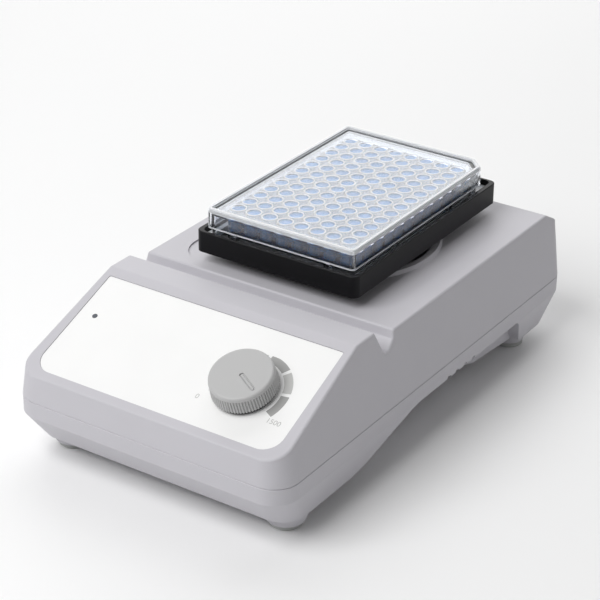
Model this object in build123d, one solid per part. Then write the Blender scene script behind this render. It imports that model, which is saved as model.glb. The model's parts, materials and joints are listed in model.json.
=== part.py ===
from build123d import *
import os
from math import cos, radians, sin, tan

# Microplate shaker: bench instrument with an orbiting tray for one 96-well plate.
# Millimetres. X to the right, Y to the rear, Z up. Origin on the table under the
# middle of the housing. The tray moves on a small circle driven by an eccentric crank.

# Housing outline
body_width = 150.0
body_depth = 260.0
corner_radius = 13.0
wall = 2.5
half_x = body_width / 2
half_y = body_depth / 2
seam_z = 32.2
seam_chamfer = 0.4
kink_z = 24.1
belly_z = 8.8
side_taper = 12.0
end_taper = 36.0
belly_corner = 12.0
loft_top_z = 77.8
side_draft = 8.5
front_draft = 7.0
rear_draft = 2.6
top_corner = 7.0

# Sloping control face and the ridge behind it
panel_slope = 22.5
panel_edge_y = -half_y + 6.1
panel_edge_z = 46.9
panel_sink = 0.3
overlay_thickness = 0.5
overlay_gap = 0.15
overlay_bottom_half = half_x - 8.6
overlay_top_half = half_x - 9.8
overlay_length = 60.8
overlay_corner = 9.0
ridge_z = 72.5
ridge_rear_y = panel_edge_y + 75.6
ridge_radius = 4.0
ridge_rear_radius = 1.6
top_edge_radius = 1.2

# Cross groove between the ridge and the platform
groove_floor_z = 59.7
groove_front_y = ridge_rear_y + 6.0
groove_rear_y = groove_front_y + 3.1
groove_step_y = groove_rear_y + 4.6
groove_step_z = 63.6
groove_radius = 1.5
lip_y = groove_step_y + 1.2
lip_radius = 1.3

# Platform under the tray
platform_z = 67.9
platform_rear_y = half_y - 16.5
rear_shoulder_y = half_y - 4.0
rear_shoulder_z = 60.8
rear_draft_run = 4.0
shoulder_radius = 9.0
recess_depth = 0.8
recess_half = half_x - 17.2
recess_front_y = lip_y + 5.4
recess_corner = 17.0

# Drive axis, orbit and the ring round the opening
axis_y = (lip_y + platform_rear_y) / 2 - 3.8
orbit_radius = 2.25
opening_radius = 43.0
ring_radius = 46.0
ring_foot = 1.0
ring_z = 68.8

# Side arches, legs and feet of the lower housing
arch_z = 23.8
arch_front_y = -half_y + 66.0
arch_rise_y = arch_front_y + 45.0
arch_rear_y = half_y - 43.0
arch_rear_top_y = arch_rear_y - 7.0
arch_inner_x = half_x - 17.0
arch_front_radius = 60.0
arch_rise_radius = 40.0
arch_rear_radius = 6.0
arch_foot_radius = 2.0
gusset_front_y = arch_rear_y - 45.0
gusset_middle_x = half_x - 10.7
gusset_middle_y = arch_rear_y - 33.0
gusset_x = half_x - 8.2
gusset_rear_y = arch_rear_y - 3.0
foot_x = half_x - 15.0
foot_front_y = -half_y + 25.6
foot_rear_y = half_y - 31.9
foot_radius = 7.6
foot_height = 2.4
foot_stem_radius = 3.0
foot_stem_height = 5.0
leg_front_top_radius = 11.8
leg_front_radius = 9.1
leg_rear_top_radius = 8.6
leg_rear_radius = 7.9
leg_top_z = 13.0
leg_round = 1.5
leg_rear_round = 0.7
arch_front_run = 36.0
arch_rear_run = 14.0
vent_count = 4
vent_pitch = 7.6
vent_width = 3.0
vent_first_y = arch_rear_y - 76.0
vent_notch = 1.2
floor_vent_count = 7
floor_vent_length = 30.0

# Fits
turning_fit = 0.05
close_fit = 0.03
thread_fit = 0.05

# Housing screws
post_x = half_x - 31.0
post_front_y = -half_y + 46.0
post_rear_y = half_y - 24.0
post_radius = 4.6
post_hole_radius = 1.5
screw_clear_radius = 2.0
screw_head_radius = 3.4
screw_head_height = 2.2
screw_head_z = 19.8
screw_length = 26.0

# Bridge plate and its standoffs
bridge_z = 56.8
bridge_thickness = 4.0
bridge_width = 100.0
bridge_depth = 92.0
bridge_corner = 6.0
bridge_hole_radius = 10.0
standoff_x = bridge_width / 2 - 7.0
standoff_reach_y = bridge_depth / 2 - 7.5
standoff_radius = 5.0
standoff_boss_height = 5.0
bolt_radius = 2.0
bolt_head_radius = 3.5
bolt_head_height = 2.2
standoff_thread = 8.0

# Shaded-pole motor
stack_z = 27.8
stack_height = 18.0
stack_width = 60.0
stack_rear = 22.0
stack_front = 50.0
stack_window_half = 18.0
stack_window_front = 36.0
stack_window_rear = 18.0
stack_corner = 4.0
stator_bore_radius = 13.0
rotor_radius = 12.5
rotor_overhang = 1.0
shading_slot = 1.6
coil_growth = 8.0
bobbin_wall = 1.2
bobbin_flange = 1.6
coil_half_length = 15.0
bracket_width = 14.0
bracket_thickness = 2.0
bracket_rise = 5.0
bracket_boss_radius = 7.0
bracket_boss_height = 5.5
motor_bolt_x = 25.0
motor_bush_radius = 4.5
shaft_radius = 3.0
shaft_low_z = 12.8
fan_radius = 20.0
fan_hub_radius = 6.5
fan_z = 14.3
fan_height = 6.0
fan_blades = 8
fan_blade_thickness = 1.2

# Crank, idlers and carrier
hub_radius = 7.0
hub_low_z = 54.4
crank_z = 61.6
crank_thickness = 4.0
crank_radius = 13.0
counterweight_radius = 16.0
pin_radius = 4.0
bearing_radius = 11.0
bearing_height = 7.0
bearing_race = 2.0
idler_reach = 27.0
idler_journal_radius = 3.0
idler_arm_radius = 6.0
idler_bush_radius = 4.5
idler_angles = {"rear": 90.0, "left": 210.0, "right": 330.0}
bush_flange_radius = 5.8
bush_flange = 0.6
carrier_z = 66.1
carrier_thickness = 4.0
carrier_radius = 38.0
carrier_boss_radius = 15.0
carrier_cap = 1.5
carrier_post_reach = 24.0
carrier_post_radius = 4.5

# Tray, plate and lid
tray_z = 73.0
tray_height = 10.8
tray_side_wall = 2.4
tray_end_wall = 1.5
tray_corner = 3.6
tray_pocket_depth = 5.5
tray_floor = 2.5
tray_rib = 1.6
tray_rib_height = 2.2
tray_rib_x = 35.0
tray_rib_y = 45.0
plate_gap = 0.3
tray_screw_radius = 2.0
tray_screw_head = 3.8
tray_screw_length = 9.0
plate_width = 85.48
plate_length = 127.76
plate_height = 14.35
plate_corner = 3.2
plate_flange = 2.5
plate_wall = 1.4
plate_deck = 1.2
plate_deck_sink = 0.8
well_pitch = 9.0
well_columns = 8
well_rows = 12
well_radius = 3.2
well_wall = 1.2
well_floor = 1.2
well_depth = 9.6
lid_width = 83.0
lid_length = 123.6
lid_wall = 1.2
lid_gap = 0.3
lid_skirt_z = 84.6
lid_deck = 1.2
lid_rim_height = 1.1
lid_rim_inset = 0.45
lid_rim_width = 1.2
lid_corner = 2.0
key_chamfer = 6.5
lug_width = 3.0
lug_out = 0.8
lug_x = 27.0
lug_y = 25.0

# Speed control, lamp and board
knob_x = half_x - 39.8
knob_s = 26.5
knob_radius = 15.6
knob_top_radius = 14.9
knob_height = 8.5
knob_gap = 2.0
knob_shell = 2.2
knob_edge = 1.2
knob_ribs = 90
knob_rib_depth = 0.65
knob_rib_width = 0.8
knob_rib_height = 5.4
knob_hub_radius = 5.6
pointer_angle = -23.0
pointer_width = 2.2
pointer_start = -0.7
pointer_end = 11.6
pointer_depth = 0.6
control_shaft_radius = 3.0
control_bush_radius = 3.6
control_body_radius = 8.2
control_body_height = 9.0
control_nut_radius = 5.2
control_nut_height = 2.0
control_bush_reach = 3.6
lamp_x = -(half_x - 18.0)
lamp_s = 36.9
lamp_radius = 1.3
lamp_base_radius = 2.0
lamp_board_drop = 7.0
lamp_board_size = 12.0
lamp_board_thickness = 1.6
lamp_post_radius = 2.0
lamp_post_reach = 4.2
board_width = 2 * post_x - 18.0
board_depth = 50.0
board_thickness = 1.6
board_y = (axis_y - stack_front - coil_growth - half_y) / 2 + 3.6
board_z = 17.8
board_post_radius = 3.5
board_post_inset = 5.0
board_screw_radius = 1.5
board_screw_head = 2.8
terminal_length = 25.0
terminal_depth = 10.0
terminal_height = 11.0

# Rear connections
rear_plane_y = half_y - 3.7
rear_field_half = 38.0
rear_field_low_z = 33.6
rear_field_high_z = 55.4
rear_field_radius = 2.0
rear_pad = 3.0
rear_centre_z = 44.5
rear_flange = 2.2
rear_cut_gap = 0.1
inlet_x = -20.0
inlet_width = 27.0
inlet_height = 17.6
inlet_flange_width = 31.0
inlet_flange_height = 21.0
inlet_depth = 20.0
inlet_socket_width = 24.0
inlet_socket_height = 15.2
inlet_socket_chamfer = 4.0
inlet_socket_depth = 16.0
inlet_pin_spread = 7.0
inlet_pin_rise = 2.0
inlet_pin_width = 2.0
inlet_pin_height = 4.0
inlet_tail = 5.0
switch_x = 9.0
switch_width = 12.9
switch_height = 19.0
switch_flange_width = 15.0
switch_flange_height = 21.0
switch_depth = 14.0
switch_wall = 1.5
rocker_radius = 8.0
rocker_pivot_back = 4.2
rocker_valley = 1.6
rocker_gap = 0.3
rocker_throw = 16.0
rocker_rise = 5.9
rocker_pin_radius = 1.2
fuse_x = 28.0
fuse_radius = 6.2
fuse_flange_radius = 8.0
fuse_depth = 30.0
fuse_wall = 1.2
fuse_cap_radius = 4.8
fuse_cap_reach = 10.0
fuse_slot_width = 1.2
fuse_slot_depth = 1.0
fuse_tube_radius = 2.5
fuse_tube_length = 16.0

# Values worked out from the sizes above
panel_cos = cos(radians(panel_slope))
panel_sin = sin(radians(panel_slope))
panel_plane = Plane(
    origin=(0, panel_edge_y, panel_edge_z), x_dir=(1, 0, 0), z_dir=(0, -panel_sin, panel_cos)
)
tray_y = axis_y + orbit_radius
seat_z = tray_z + tray_height - tray_pocket_depth
tray_ceiling_z = seat_z - tray_floor
plate_top_z = seat_z + plate_height
deck_z = plate_top_z - plate_deck_sink
crank_top_z = crank_z + crank_thickness
carrier_top_z = carrier_z + carrier_thickness
bridge_top_z = bridge_z + bridge_thickness
recess_z = platform_z - recess_depth
floor_z = belly_z + wall
stack_top_z = stack_z + stack_height
feet = {
    "front_left": (-foot_x, foot_front_y),
    "front_right": (foot_x, foot_front_y),
    "rear_left": (-foot_x, foot_rear_y),
    "rear_right": (foot_x, foot_rear_y),
}
posts = [(x, y) for x in (-post_x, post_x) for y in (post_front_y, post_rear_y)]
standoffs = [
    (x, axis_y + y) for x in (-standoff_x, standoff_x) for y in (-standoff_reach_y, standoff_reach_y)
]
board_posts = [
    (x, board_y + y)
    for x in (board_post_inset - board_width / 2, board_width / 2 - board_post_inset)
    for y in (board_post_inset - board_depth / 2, board_depth / 2 - board_post_inset)
]
carrier_posts = [
    (x, tray_y + y)
    for x in (-carrier_post_reach, carrier_post_reach)
    for y in (-carrier_post_reach, carrier_post_reach)
]


def cylinder(radius, low, high, x=0.0, y=0.0):
    """Upright cylinder between two heights."""
    return Pos(x, y, low) * Cylinder(radius, high - low, align=(Align.CENTER, Align.CENTER, Align.MIN))


def tube(outer, inner, low, high, x=0.0, y=0.0):
    """Upright tube between two heights."""
    return cylinder(outer, low, high, x, y) - cylinder(inner, low, high, x, y)


def block(x0, x1, y0, y1, z0, z1):
    """Box between two opposite corners."""
    size = (abs(x1 - x0), abs(y1 - y0), abs(z1 - z0))
    return Pos((x0 + x1) / 2, (y0 + y1) / 2, (z0 + z1) / 2) * Box(*size)


def slab(sketch, low, high, x=0.0, y=0.0):
    """Flat outline raised between two heights."""
    return Pos(x, y, low) * extrude(sketch, high - low)


def rear_slab(sketch, low_y, high_y, x):
    """Outline drawn as seen from the rear wall, raised along Y at the connector height."""
    plane = Plane(origin=(x, low_y, rear_centre_z), x_dir=(-1, 0, 0), z_dir=(0, 1, 0))
    return extrude(plane * sketch, high_y - low_y)


def rear_cylinder(radius, low_y, high_y, x):
    """Cylinder along Y at the connector height."""
    return rear_slab(Circle(radius), low_y, high_y, x)


def on_panel(shape, s_x=0.0, s_up=0.0, height=0.0):
    """Move a shape drawn at the origin onto the control face."""
    return panel_plane.location * Pos(s_x, s_up, height) * shape


def joined(solids):
    """One part that keeps separate solids apart."""
    return Compound(children=list(solids))


def outline(width, depth, radius, low, y=0.0):
    """Rounded rectangle lying at one height."""
    return Pos(0, y, low) * RectangleRounded(width, depth, radius)


def belly_outline(inset, low):
    """Outline of the lower housing below its kink, at one height."""
    drop = kink_z - low
    x = half_x - drop * tan(radians(side_taper)) - inset
    y = half_y - drop * tan(radians(end_taper)) - inset
    share = drop / (kink_z - belly_z)
    radius = corner_radius + (belly_corner - corner_radius) * share - inset
    return outline(2 * x, 2 * y, radius, low)


def arch_profile(growth):
    """Area under the side arch in the YZ plane, grown by the wall for the inside."""
    path = FilletPolyline(
        (arch_front_y - arch_front_run - growth, belly_z + growth),
        (arch_front_y - growth, belly_z + growth),
        (arch_rise_y - growth, arch_z + growth),
        (arch_rear_top_y + growth, arch_z + growth),
        (arch_rear_y + growth, belly_z + growth),
        (arch_rear_y + arch_rear_run + growth, belly_z + growth),
        radius=[arch_front_radius, arch_rise_radius, arch_rear_radius, arch_foot_radius],
    )
    ends = [path @ 0, path @ 1]
    close = Polyline(ends[1], (ends[1].X, -foot_height), (ends[0].X, -foot_height), ends[0])
    return make_face(Plane.YZ * (path + close))


def arches(growth):
    """Both side arches as solids to cut away, leaving the gussets in front of the rear legs."""
    profile = arch_profile(growth)
    inner_x = arch_inner_x - growth
    reach = half_x + wall - inner_x
    right = Pos(inner_x, 0, 0) * extrude(profile, reach, dir=(1, 0, 0))
    rear_y = arch_rear_y + 20
    wedge = make_face(
        Polyline(
            (inner_x, gusset_front_y),
            (gusset_middle_x - growth, gusset_middle_y),
            (gusset_x - growth, gusset_rear_y),
            (gusset_x - growth, rear_y),
            (inner_x, rear_y),
            close=True,
        )
    )
    right -= slab(wedge, -foot_height, arch_z + 3 * wall)
    return [right, mirror(right, Plane.YZ)]


def leg(x, y):
    """Round leg that carries one rubber foot."""
    if y < 0:
        low_radius, top_radius, rounding = leg_front_radius, leg_front_top_radius, leg_round
    else:
        low_radius, top_radius, rounding = leg_rear_radius, leg_rear_top_radius, leg_rear_round
    cone = Cone(
        low_radius, top_radius, leg_top_z - foot_height, align=(Align.CENTER, Align.CENTER, Align.MIN)
    )
    cone = fillet(cone.edges().filter_by(GeomType.CIRCLE).sort_by(Axis.Z)[0], rounding)
    return Pos(x, y, foot_height) * cone


def lower_housing():
    """Moulded base: seam band, tapered belly, side arches, legs, bosses and vents."""
    band = slab(RectangleRounded(body_width, body_depth, corner_radius), kink_z, seam_z)
    belly = loft([belly_outline(0, belly_z), belly_outline(0, kink_z)])
    shell = band + belly
    seam_edges = shell.edges().filter_by_position(Axis.Z, seam_z - 0.01, seam_z + 0.01)
    shell = chamfer(seam_edges, seam_chamfer)
    for side in arches(0):
        shell -= side
    inner_radius = corner_radius - wall
    hollow = slab(
        RectangleRounded(body_width - 2 * wall, body_depth - 2 * wall, inner_radius), kink_z, seam_z
    )
    hollow += loft([belly_outline(wall, floor_z), belly_outline(wall, kink_z)])
    for side in arches(wall):
        hollow -= side
    shell -= hollow
    legs = [leg(*values) for values in feet.values()]
    for one in legs:
        shell += one
    for x, y in feet.values():
        shell -= cylinder(foot_stem_radius + close_fit, 0, foot_height + foot_stem_height + 1, x, y)
    for x, y in posts:
        shell += cylinder(post_radius, floor_z, seam_z, x, y)
        shell -= cylinder(screw_head_radius + wall / 5, belly_z, screw_head_z, x, y)
        shell -= cylinder(screw_clear_radius, screw_head_z, seam_z, x, y)
    for x, y in standoffs:
        shell += cylinder(standoff_radius + 1, floor_z, floor_z + standoff_boss_height, x, y)
        shell -= cylinder(bolt_radius + thread_fit, belly_z, floor_z + standoff_boss_height, x, y)
        shell -= cylinder(bolt_head_radius + wall / 5, belly_z, belly_z + bolt_head_height + 0.3, x, y)
    for x, y in board_posts:
        shell += cylinder(board_post_radius, floor_z, board_z, x, y)
        shell -= cylinder(board_screw_radius, floor_z, board_z, x, y)
    slots = []
    for i in range(vent_count):
        y = vent_first_y + i * vent_pitch
        through = block(
            arch_inner_x + 2, half_x - 2 * wall, y - vent_width / 2, y + vent_width / 2, belly_z, floor_z + arch_z
        )
        notch = block(
            half_x - 2 * wall, half_x + 1, y - vent_width / 2, y + vent_width / 2, arch_z - wall, arch_z + vent_notch
        )
        slots += [through, notch]
    for slot in slots:
        shell -= slot
        shell -= mirror(slot, Plane.YZ)
    for i in range(floor_vent_count):
        y = axis_y + (i - (floor_vent_count - 1) / 2) * vent_pitch
        slot = SlotOverall(floor_vent_length, vent_width)
        shell -= slab(slot, belly_z, floor_z, 0, y)
    return shell


def side_profile():
    """Area of the upper housing seen from the side, in the YZ plane."""
    lift = panel_sink / panel_cos
    rise = tan(radians(panel_slope))

    def slope_z(y):
        return panel_edge_z + lift + (y - panel_edge_y) * rise

    ridge_front_y = panel_edge_y + (ridge_z - panel_edge_z - lift) / rise
    start_y = -half_y - 20
    path = FilletPolyline(
        (start_y, slope_z(start_y)),
        (ridge_front_y, ridge_z),
        (ridge_rear_y, ridge_z),
        (groove_front_y, groove_floor_z),
        (groove_rear_y, groove_floor_z),
        (groove_step_y, groove_step_z),
        (lip_y, platform_z),
        (platform_rear_y, platform_z),
        (rear_shoulder_y, rear_shoulder_z),
        (half_y + 3 * rear_draft_run, rear_shoulder_z - 10.5 * rear_draft_run),
        radius=[
            ridge_radius,
            ridge_rear_radius,
            groove_radius,
            groove_radius,
            groove_radius,
            lip_radius,
            ridge_radius,
            shoulder_radius,
        ],
    )
    ends = [path @ 0, path @ 1]
    low = seam_z - 30
    close = Polyline(ends[1], (ends[1].X, low), (ends[0].X, low), ends[0])
    return make_face(path + close)


def seam_outline(inset, low):
    """Housing outline at the seam, inset on every side."""
    return outline(2 * (half_x - inset), 2 * (half_y - inset), corner_radius - inset, low)


def upper_form(inset, low):
    """Drafted outer form of the upper housing, or its inside when inset by the wall."""
    rise = loft_top_z - seam_z
    top_x = half_x - rise * tan(radians(side_draft))
    top_front = -half_y + rise * tan(radians(front_draft))
    top_rear = half_y - rise * tan(radians(rear_draft))
    bottom = seam_outline(inset, low)
    top_depth = top_rear - top_front - 2 * inset
    middle = (top_rear + top_front) / 2
    top = outline(2 * (top_x - inset), top_depth, top_corner - inset, loft_top_z, middle)
    profile = side_profile()
    if inset:
        profile = offset(profile, -inset)
    side = extrude(Plane.YZ * profile, half_x + 5, both=True)
    return loft([bottom, top]) & side


def sharp_edges(solid, low):
    """Edges above a height where two faces meet at more than a slight angle."""
    found = []
    for edge in solid.edges():
        sides = [face for face in solid.faces() if any(edge.is_same(other) for other in face.edges())]
        middle = edge.position_at(0.5)
        if edge.bounding_box().min.Z > low and len(sides) == 2:
            if sides[0].normal_at(middle).get_angle(sides[1].normal_at(middle)) > 15:
                found.append(edge)
    return found


def overlay_outline(growth):
    """Control overlay outline on the panel plane: sharp top corners, rounded bottom corners."""
    points = [
        (-overlay_top_half - growth, overlay_length + growth),
        (-overlay_bottom_half - growth, -growth),
        (overlay_bottom_half + growth, -growth),
        (overlay_top_half + growth, overlay_length + growth),
    ]
    face = make_face(Polyline(*points, close=True))
    low = face.vertices().sort_by(Axis.Y)[:2]
    high = face.vertices().sort_by(Axis.Y)[2:]
    face = fillet(low, overlay_corner + growth)
    high = face.vertices().sort_by(Axis.Y)[-2:]
    return fillet(high, 1.0)


def upper_housing():
    """Moulded cover: sloping control face, ridge, groove, platform with ring, rear wall."""
    edge = seam_z + seam_chamfer
    outer = upper_form(0, edge)
    outer = fillet(sharp_edges(outer, (seam_z + panel_edge_z) / 2), top_edge_radius)
    outer += loft([seam_outline(seam_chamfer, seam_z), seam_outline(0, edge)])
    cover = outer - upper_form(wall, seam_z)
    for x, y in posts:
        cover += cylinder(post_radius, seam_z, platform_z, x, y) & outer
    field = RectangleRounded(
        2 * rear_field_half + 2 * wall, rear_field_high_z - rear_field_low_z + wall, rear_field_radius
    )
    cover += rear_slab(field, rear_plane_y - rear_pad, rear_plane_y + 1, 0) & outer
    recess_length = half_y * 2
    recess = RectangleRounded(2 * recess_half, recess_length, recess_corner)
    cover -= slab(recess, recess_z, platform_z + 10, 0, recess_front_y + recess_length / 2)
    ring_points = [
        (opening_radius, recess_z - wall),
        (opening_radius, ring_z),
        (ring_radius, ring_z),
        (ring_radius + ring_foot, recess_z),
        (ring_radius + ring_foot, recess_z - wall),
    ]
    ring_face = make_face(Plane.XZ * Polyline(*ring_points, close=True))
    cover += Pos(0, axis_y, 0) * revolve(ring_face, Axis.Z)
    cover -= cylinder(opening_radius, recess_z - 2 * wall, ring_z + 1, 0, axis_y)
    sink = extrude(overlay_outline(overlay_gap), overlay_thickness + panel_sink + 6)
    cover -= on_panel(sink, height=-overlay_thickness)
    cover -= on_panel(cylinder(control_bush_radius + turning_fit, -3 * wall, 1), knob_x, knob_s)
    for dx in (-lamp_post_reach, lamp_post_reach):
        post = cylinder(lamp_post_radius, -lamp_board_drop, -overlay_thickness - 0.5)
        cover += on_panel(post, lamp_x + dx, lamp_s)
    cover -= on_panel(cylinder(lamp_radius + close_fit, -3 * wall, 1), lamp_x, lamp_s)
    for x, y in posts:
        cover -= cylinder(post_hole_radius, seam_z, screw_head_z + screw_length + 1, x, y)
    field = RectangleRounded(2 * rear_field_half, rear_field_high_z - rear_field_low_z, rear_field_radius)
    cover -= rear_slab(field, rear_plane_y, half_y + 5, 0)
    inside = rear_plane_y - rear_pad - 1
    gap = 2 * rear_cut_gap
    cover -= rear_slab(Rectangle(inlet_width + gap, inlet_height + gap), inside, half_y, inlet_x)
    cover -= rear_slab(Rectangle(switch_width + gap, switch_height + gap), inside, half_y, switch_x)
    cover -= rear_cylinder(fuse_radius + rear_cut_gap, inside, half_y, fuse_x)
    return cover


def control_panel():
    """Flat overlay in the sloping face, with holes for the control and the lamp."""
    sheet = extrude(overlay_outline(0), overlay_thickness)
    sheet -= cylinder(control_nut_radius + 1, -1, 1, knob_x, knob_s)
    sheet -= cylinder(lamp_radius + close_fit, -1, 1, lamp_x, lamp_s)
    return on_panel(sheet, height=-overlay_thickness)


def rubber_foot(x, y):
    """Foot pad with the stem that plugs into its leg."""
    pad = cylinder(foot_radius, 0, foot_height)
    pad = chamfer(pad.edges().sort_by(Axis.Z)[0], 0.5)
    pad += cylinder(foot_stem_radius, foot_height, foot_height + foot_stem_height)
    return Pos(x, y, 0) * pad


def pan_screw(radius, head_radius, head_height, length):
    """Pan-head screw pointing down, head on the origin plane."""
    screw = cylinder(head_radius, 0, head_height)
    screw -= block(-head_radius, head_radius, -0.4, 0.4, head_height * 0.5, head_height + 1)
    return screw + cylinder(radius, -length, 0)


def housing_screws():
    """Four screws from below that hold the two housings together."""
    screw = Rot(180, 0, 0) * pan_screw(
        post_hole_radius - close_fit, screw_head_radius, screw_head_height, screw_length
    )
    return joined([Pos(x, y, screw_head_z) * screw for x, y in posts])


def bridge_plate():
    """Plate that carries the motor and the idler bushes."""
    plate = slab(
        RectangleRounded(bridge_width, bridge_depth, bridge_corner), bridge_z, bridge_top_z, 0, axis_y
    )
    plate -= cylinder(bridge_hole_radius, bridge_z, bridge_top_z, 0, axis_y)
    for angle in idler_angles.values():
        x, y = idler_place(angle)
        plate -= cylinder(idler_bush_radius, bridge_z, bridge_top_z, x, y)
    for x, y in standoffs:
        plate -= cylinder(bolt_radius + thread_fit, bridge_z, bridge_top_z, x, y)
    for x in (-motor_bolt_x, motor_bolt_x):
        plate -= cylinder(bolt_radius + thread_fit, bridge_z, bridge_top_z, x, axis_y)
    return plate


def idler_place(angle):
    """Centre of an idler's fixed journal."""
    return idler_reach * cos(radians(angle)), axis_y + idler_reach * sin(radians(angle))


def bridge_standoffs():
    """Four hexagonal standoffs between the base and the bridge plate."""
    low = floor_z + standoff_boss_height
    bodies = []
    for x, y in standoffs:
        post = slab(RegularPolygon(standoff_radius, 6), low, bridge_z, x, y)
        post -= cylinder(bolt_radius + thread_fit, low, low + standoff_thread, x, y)
        post -= cylinder(bolt_radius + thread_fit, bridge_z - standoff_thread, bridge_z, x, y)
        bodies.append(post)
    return joined(bodies)


def standoff_screws():
    """Screws at both ends of each standoff."""
    top = pan_screw(bolt_radius, bolt_head_radius, bolt_head_height, bridge_thickness + standoff_thread - 1)
    length = floor_z + standoff_boss_height + standoff_thread - 1 - belly_z - bolt_head_height - 0.3
    low = Rot(180, 0, 0) * pan_screw(bolt_radius, bolt_head_radius, bolt_head_height, length)
    screws = [Pos(x, y, bridge_top_z) * top for x, y in standoffs]
    screws += [Pos(x, y, belly_z + bolt_head_height + 0.3) * low for x, y in standoffs]
    return joined(screws)


def motor_stack():
    """Laminated C-frame with the rotor bore, coil window, shading slots and bolt holes."""
    depth = stack_rear + stack_front
    middle = (stack_rear - stack_front) / 2
    stack = slab(
        RectangleRounded(stack_width, depth, stack_corner), stack_z, stack_top_z, 0, axis_y + middle
    )
    window = block(
        -stack_window_half,
        stack_window_half,
        axis_y - stack_window_front,
        axis_y - stack_window_rear,
        stack_z,
        stack_top_z,
    )
    stack -= window
    stack -= cylinder(stator_bore_radius, stack_z, stack_top_z, 0, axis_y)
    slot_reach = stator_bore_radius + 3
    for sign in (-1, 1):
        slot = Pos(0, axis_y, stack_z) * Rot(0, 0, 35 * sign) * block(
            sign * stator_bore_radius * 0.9, sign * slot_reach, -shading_slot / 2, shading_slot / 2, 0, stack_height
        )
        stack -= slot
        stack -= cylinder(bolt_radius + thread_fit, stack_z, stack_top_z, sign * motor_bolt_x, axis_y)
    return stack


def limb_section(growth):
    """Section of the front limb of the stack, grown on every side, as (y0, y1, z0, z1)."""
    y0 = axis_y - stack_front
    y1 = axis_y - stack_window_front
    return y0 - growth, y1 + growth, stack_z - growth, stack_top_z + growth


def coil_bobbin():
    """Moulded bobbin round the front limb."""
    bore = limb_section(close_fit)
    core = limb_section(bobbin_wall)
    flange = limb_section(coil_growth)
    body = block(-coil_half_length, coil_half_length, *core)
    for sign in (-1, 1):
        outer = sign * (coil_half_length + bobbin_flange)
        x0, x1 = sorted((sign * coil_half_length, outer))
        body += block(x0, x1, *flange)
    reach = coil_half_length + bobbin_flange
    return body - block(-reach, reach, *bore)


def motor_coil():
    """Copper winding on the bobbin."""
    y0, y1, z0, z1 = limb_section(coil_growth - 0.8)
    winding = block(-coil_half_length, coil_half_length, y0, y1, z0, z1)
    winding = fillet(winding.edges().filter_by(Axis.X), 5.0)
    return winding - block(-coil_half_length, coil_half_length, *limb_section(bobbin_wall))


def motor_bracket(top):
    """Pressed end bracket with its bush housing, above or below the stack."""
    sign = 1 if top else -1
    face = stack_top_z if top else stack_z
    reach = stack_width / 2
    half = bracket_width / 2
    foot_inner = motor_bolt_x - bolt_head_radius - 1

    def level(rise):
        return face + sign * rise

    def span(low, high):
        return tuple(sorted((level(low), level(high))))

    strap = block(
        -reach, reach, axis_y - half, axis_y + half, *span(bracket_rise - bracket_thickness, bracket_rise)
    )
    for side in (-1, 1):
        x0, x1 = sorted((side * foot_inner, side * reach))
        strap += block(x0, x1, axis_y - half, axis_y + half, *span(0, bracket_rise))
    strap += cylinder(
        bracket_boss_radius, *span(
            rotor_overhang + 0.6, rotor_overhang + 0.6 + bracket_boss_height
        ), 0, axis_y
    )
    through = span(0, 2 * bracket_rise)
    strap -= cylinder(motor_bush_radius, *through, 0, axis_y)
    for side in (-1, 1):
        strap -= cylinder(bolt_radius + thread_fit, *through, side * motor_bolt_x, axis_y)
    return strap


def motor_bushes():
    """Sintered bushes in the two end brackets."""
    low = rotor_overhang + 0.6
    high = low + bracket_boss_height
    upper = tube(
        motor_bush_radius, shaft_radius + turning_fit, stack_top_z + low, stack_top_z + high, 0, axis_y
    )
    lower = tube(motor_bush_radius, shaft_radius + turning_fit, stack_z - high, stack_z - low, 0, axis_y)
    return joined([upper, lower])


def motor_spacers():
    """Two sleeves between the top bracket and the bridge plate."""
    low = stack_top_z + bracket_rise
    return joined(
        [
            tube(bolt_head_radius, bolt_radius + thread_fit, low, bridge_z, x, axis_y) for x in (
                -motor_bolt_x, motor_bolt_x
            )
        ]
    )


def motor_bolts():
    """Two through bolts with nuts that clamp bridge plate, spacers, brackets and stack."""
    low = stack_z - bracket_rise
    length = bridge_top_z - low + 2.5
    bolt = pan_screw(bolt_radius, bolt_head_radius, bolt_head_height, length)
    nut = slab(RegularPolygon(bolt_head_radius, 6), low - 2.0, low)
    bolts = [
        Pos(x, axis_y, bridge_top_z) * bolt + Pos(x, axis_y, 0) * nut for x in (-motor_bolt_x, motor_bolt_x)
    ]
    return joined(bolts)


def motor_shaft():
    """Steel shaft of the motor."""
    return cylinder(shaft_radius, shaft_low_z, crank_top_z - 1, 0, axis_y)


def motor_rotor():
    """Squirrel-cage rotor."""
    low = stack_z - rotor_overhang
    high = stack_top_z + rotor_overhang
    rotor = tube(rotor_radius, shaft_radius, low, high, 0, axis_y)
    return chamfer(
        rotor.edges().filter_by(GeomType.CIRCLE).filter_by(lambda e: e.radius > shaft_radius + 1), 0.6
    )


def motor_fan():
    """Small cooling fan on the lower end of the shaft."""
    top = fan_z + fan_height
    fan = cylinder(fan_hub_radius, fan_z, top)
    fan += cylinder(fan_radius, top - 1.0, top)
    for i in range(fan_blades):
        blade = block(
            fan_hub_radius - 1, fan_radius - 0.5, -fan_blade_thickness / 2, fan_blade_thickness / 2, fan_z, top
        )
        fan += Rot(0, 0, i * 360 / fan_blades) * blade
    fan -= cylinder(shaft_radius, fan_z, top)
    return Pos(0, axis_y, 0) * fan


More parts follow.
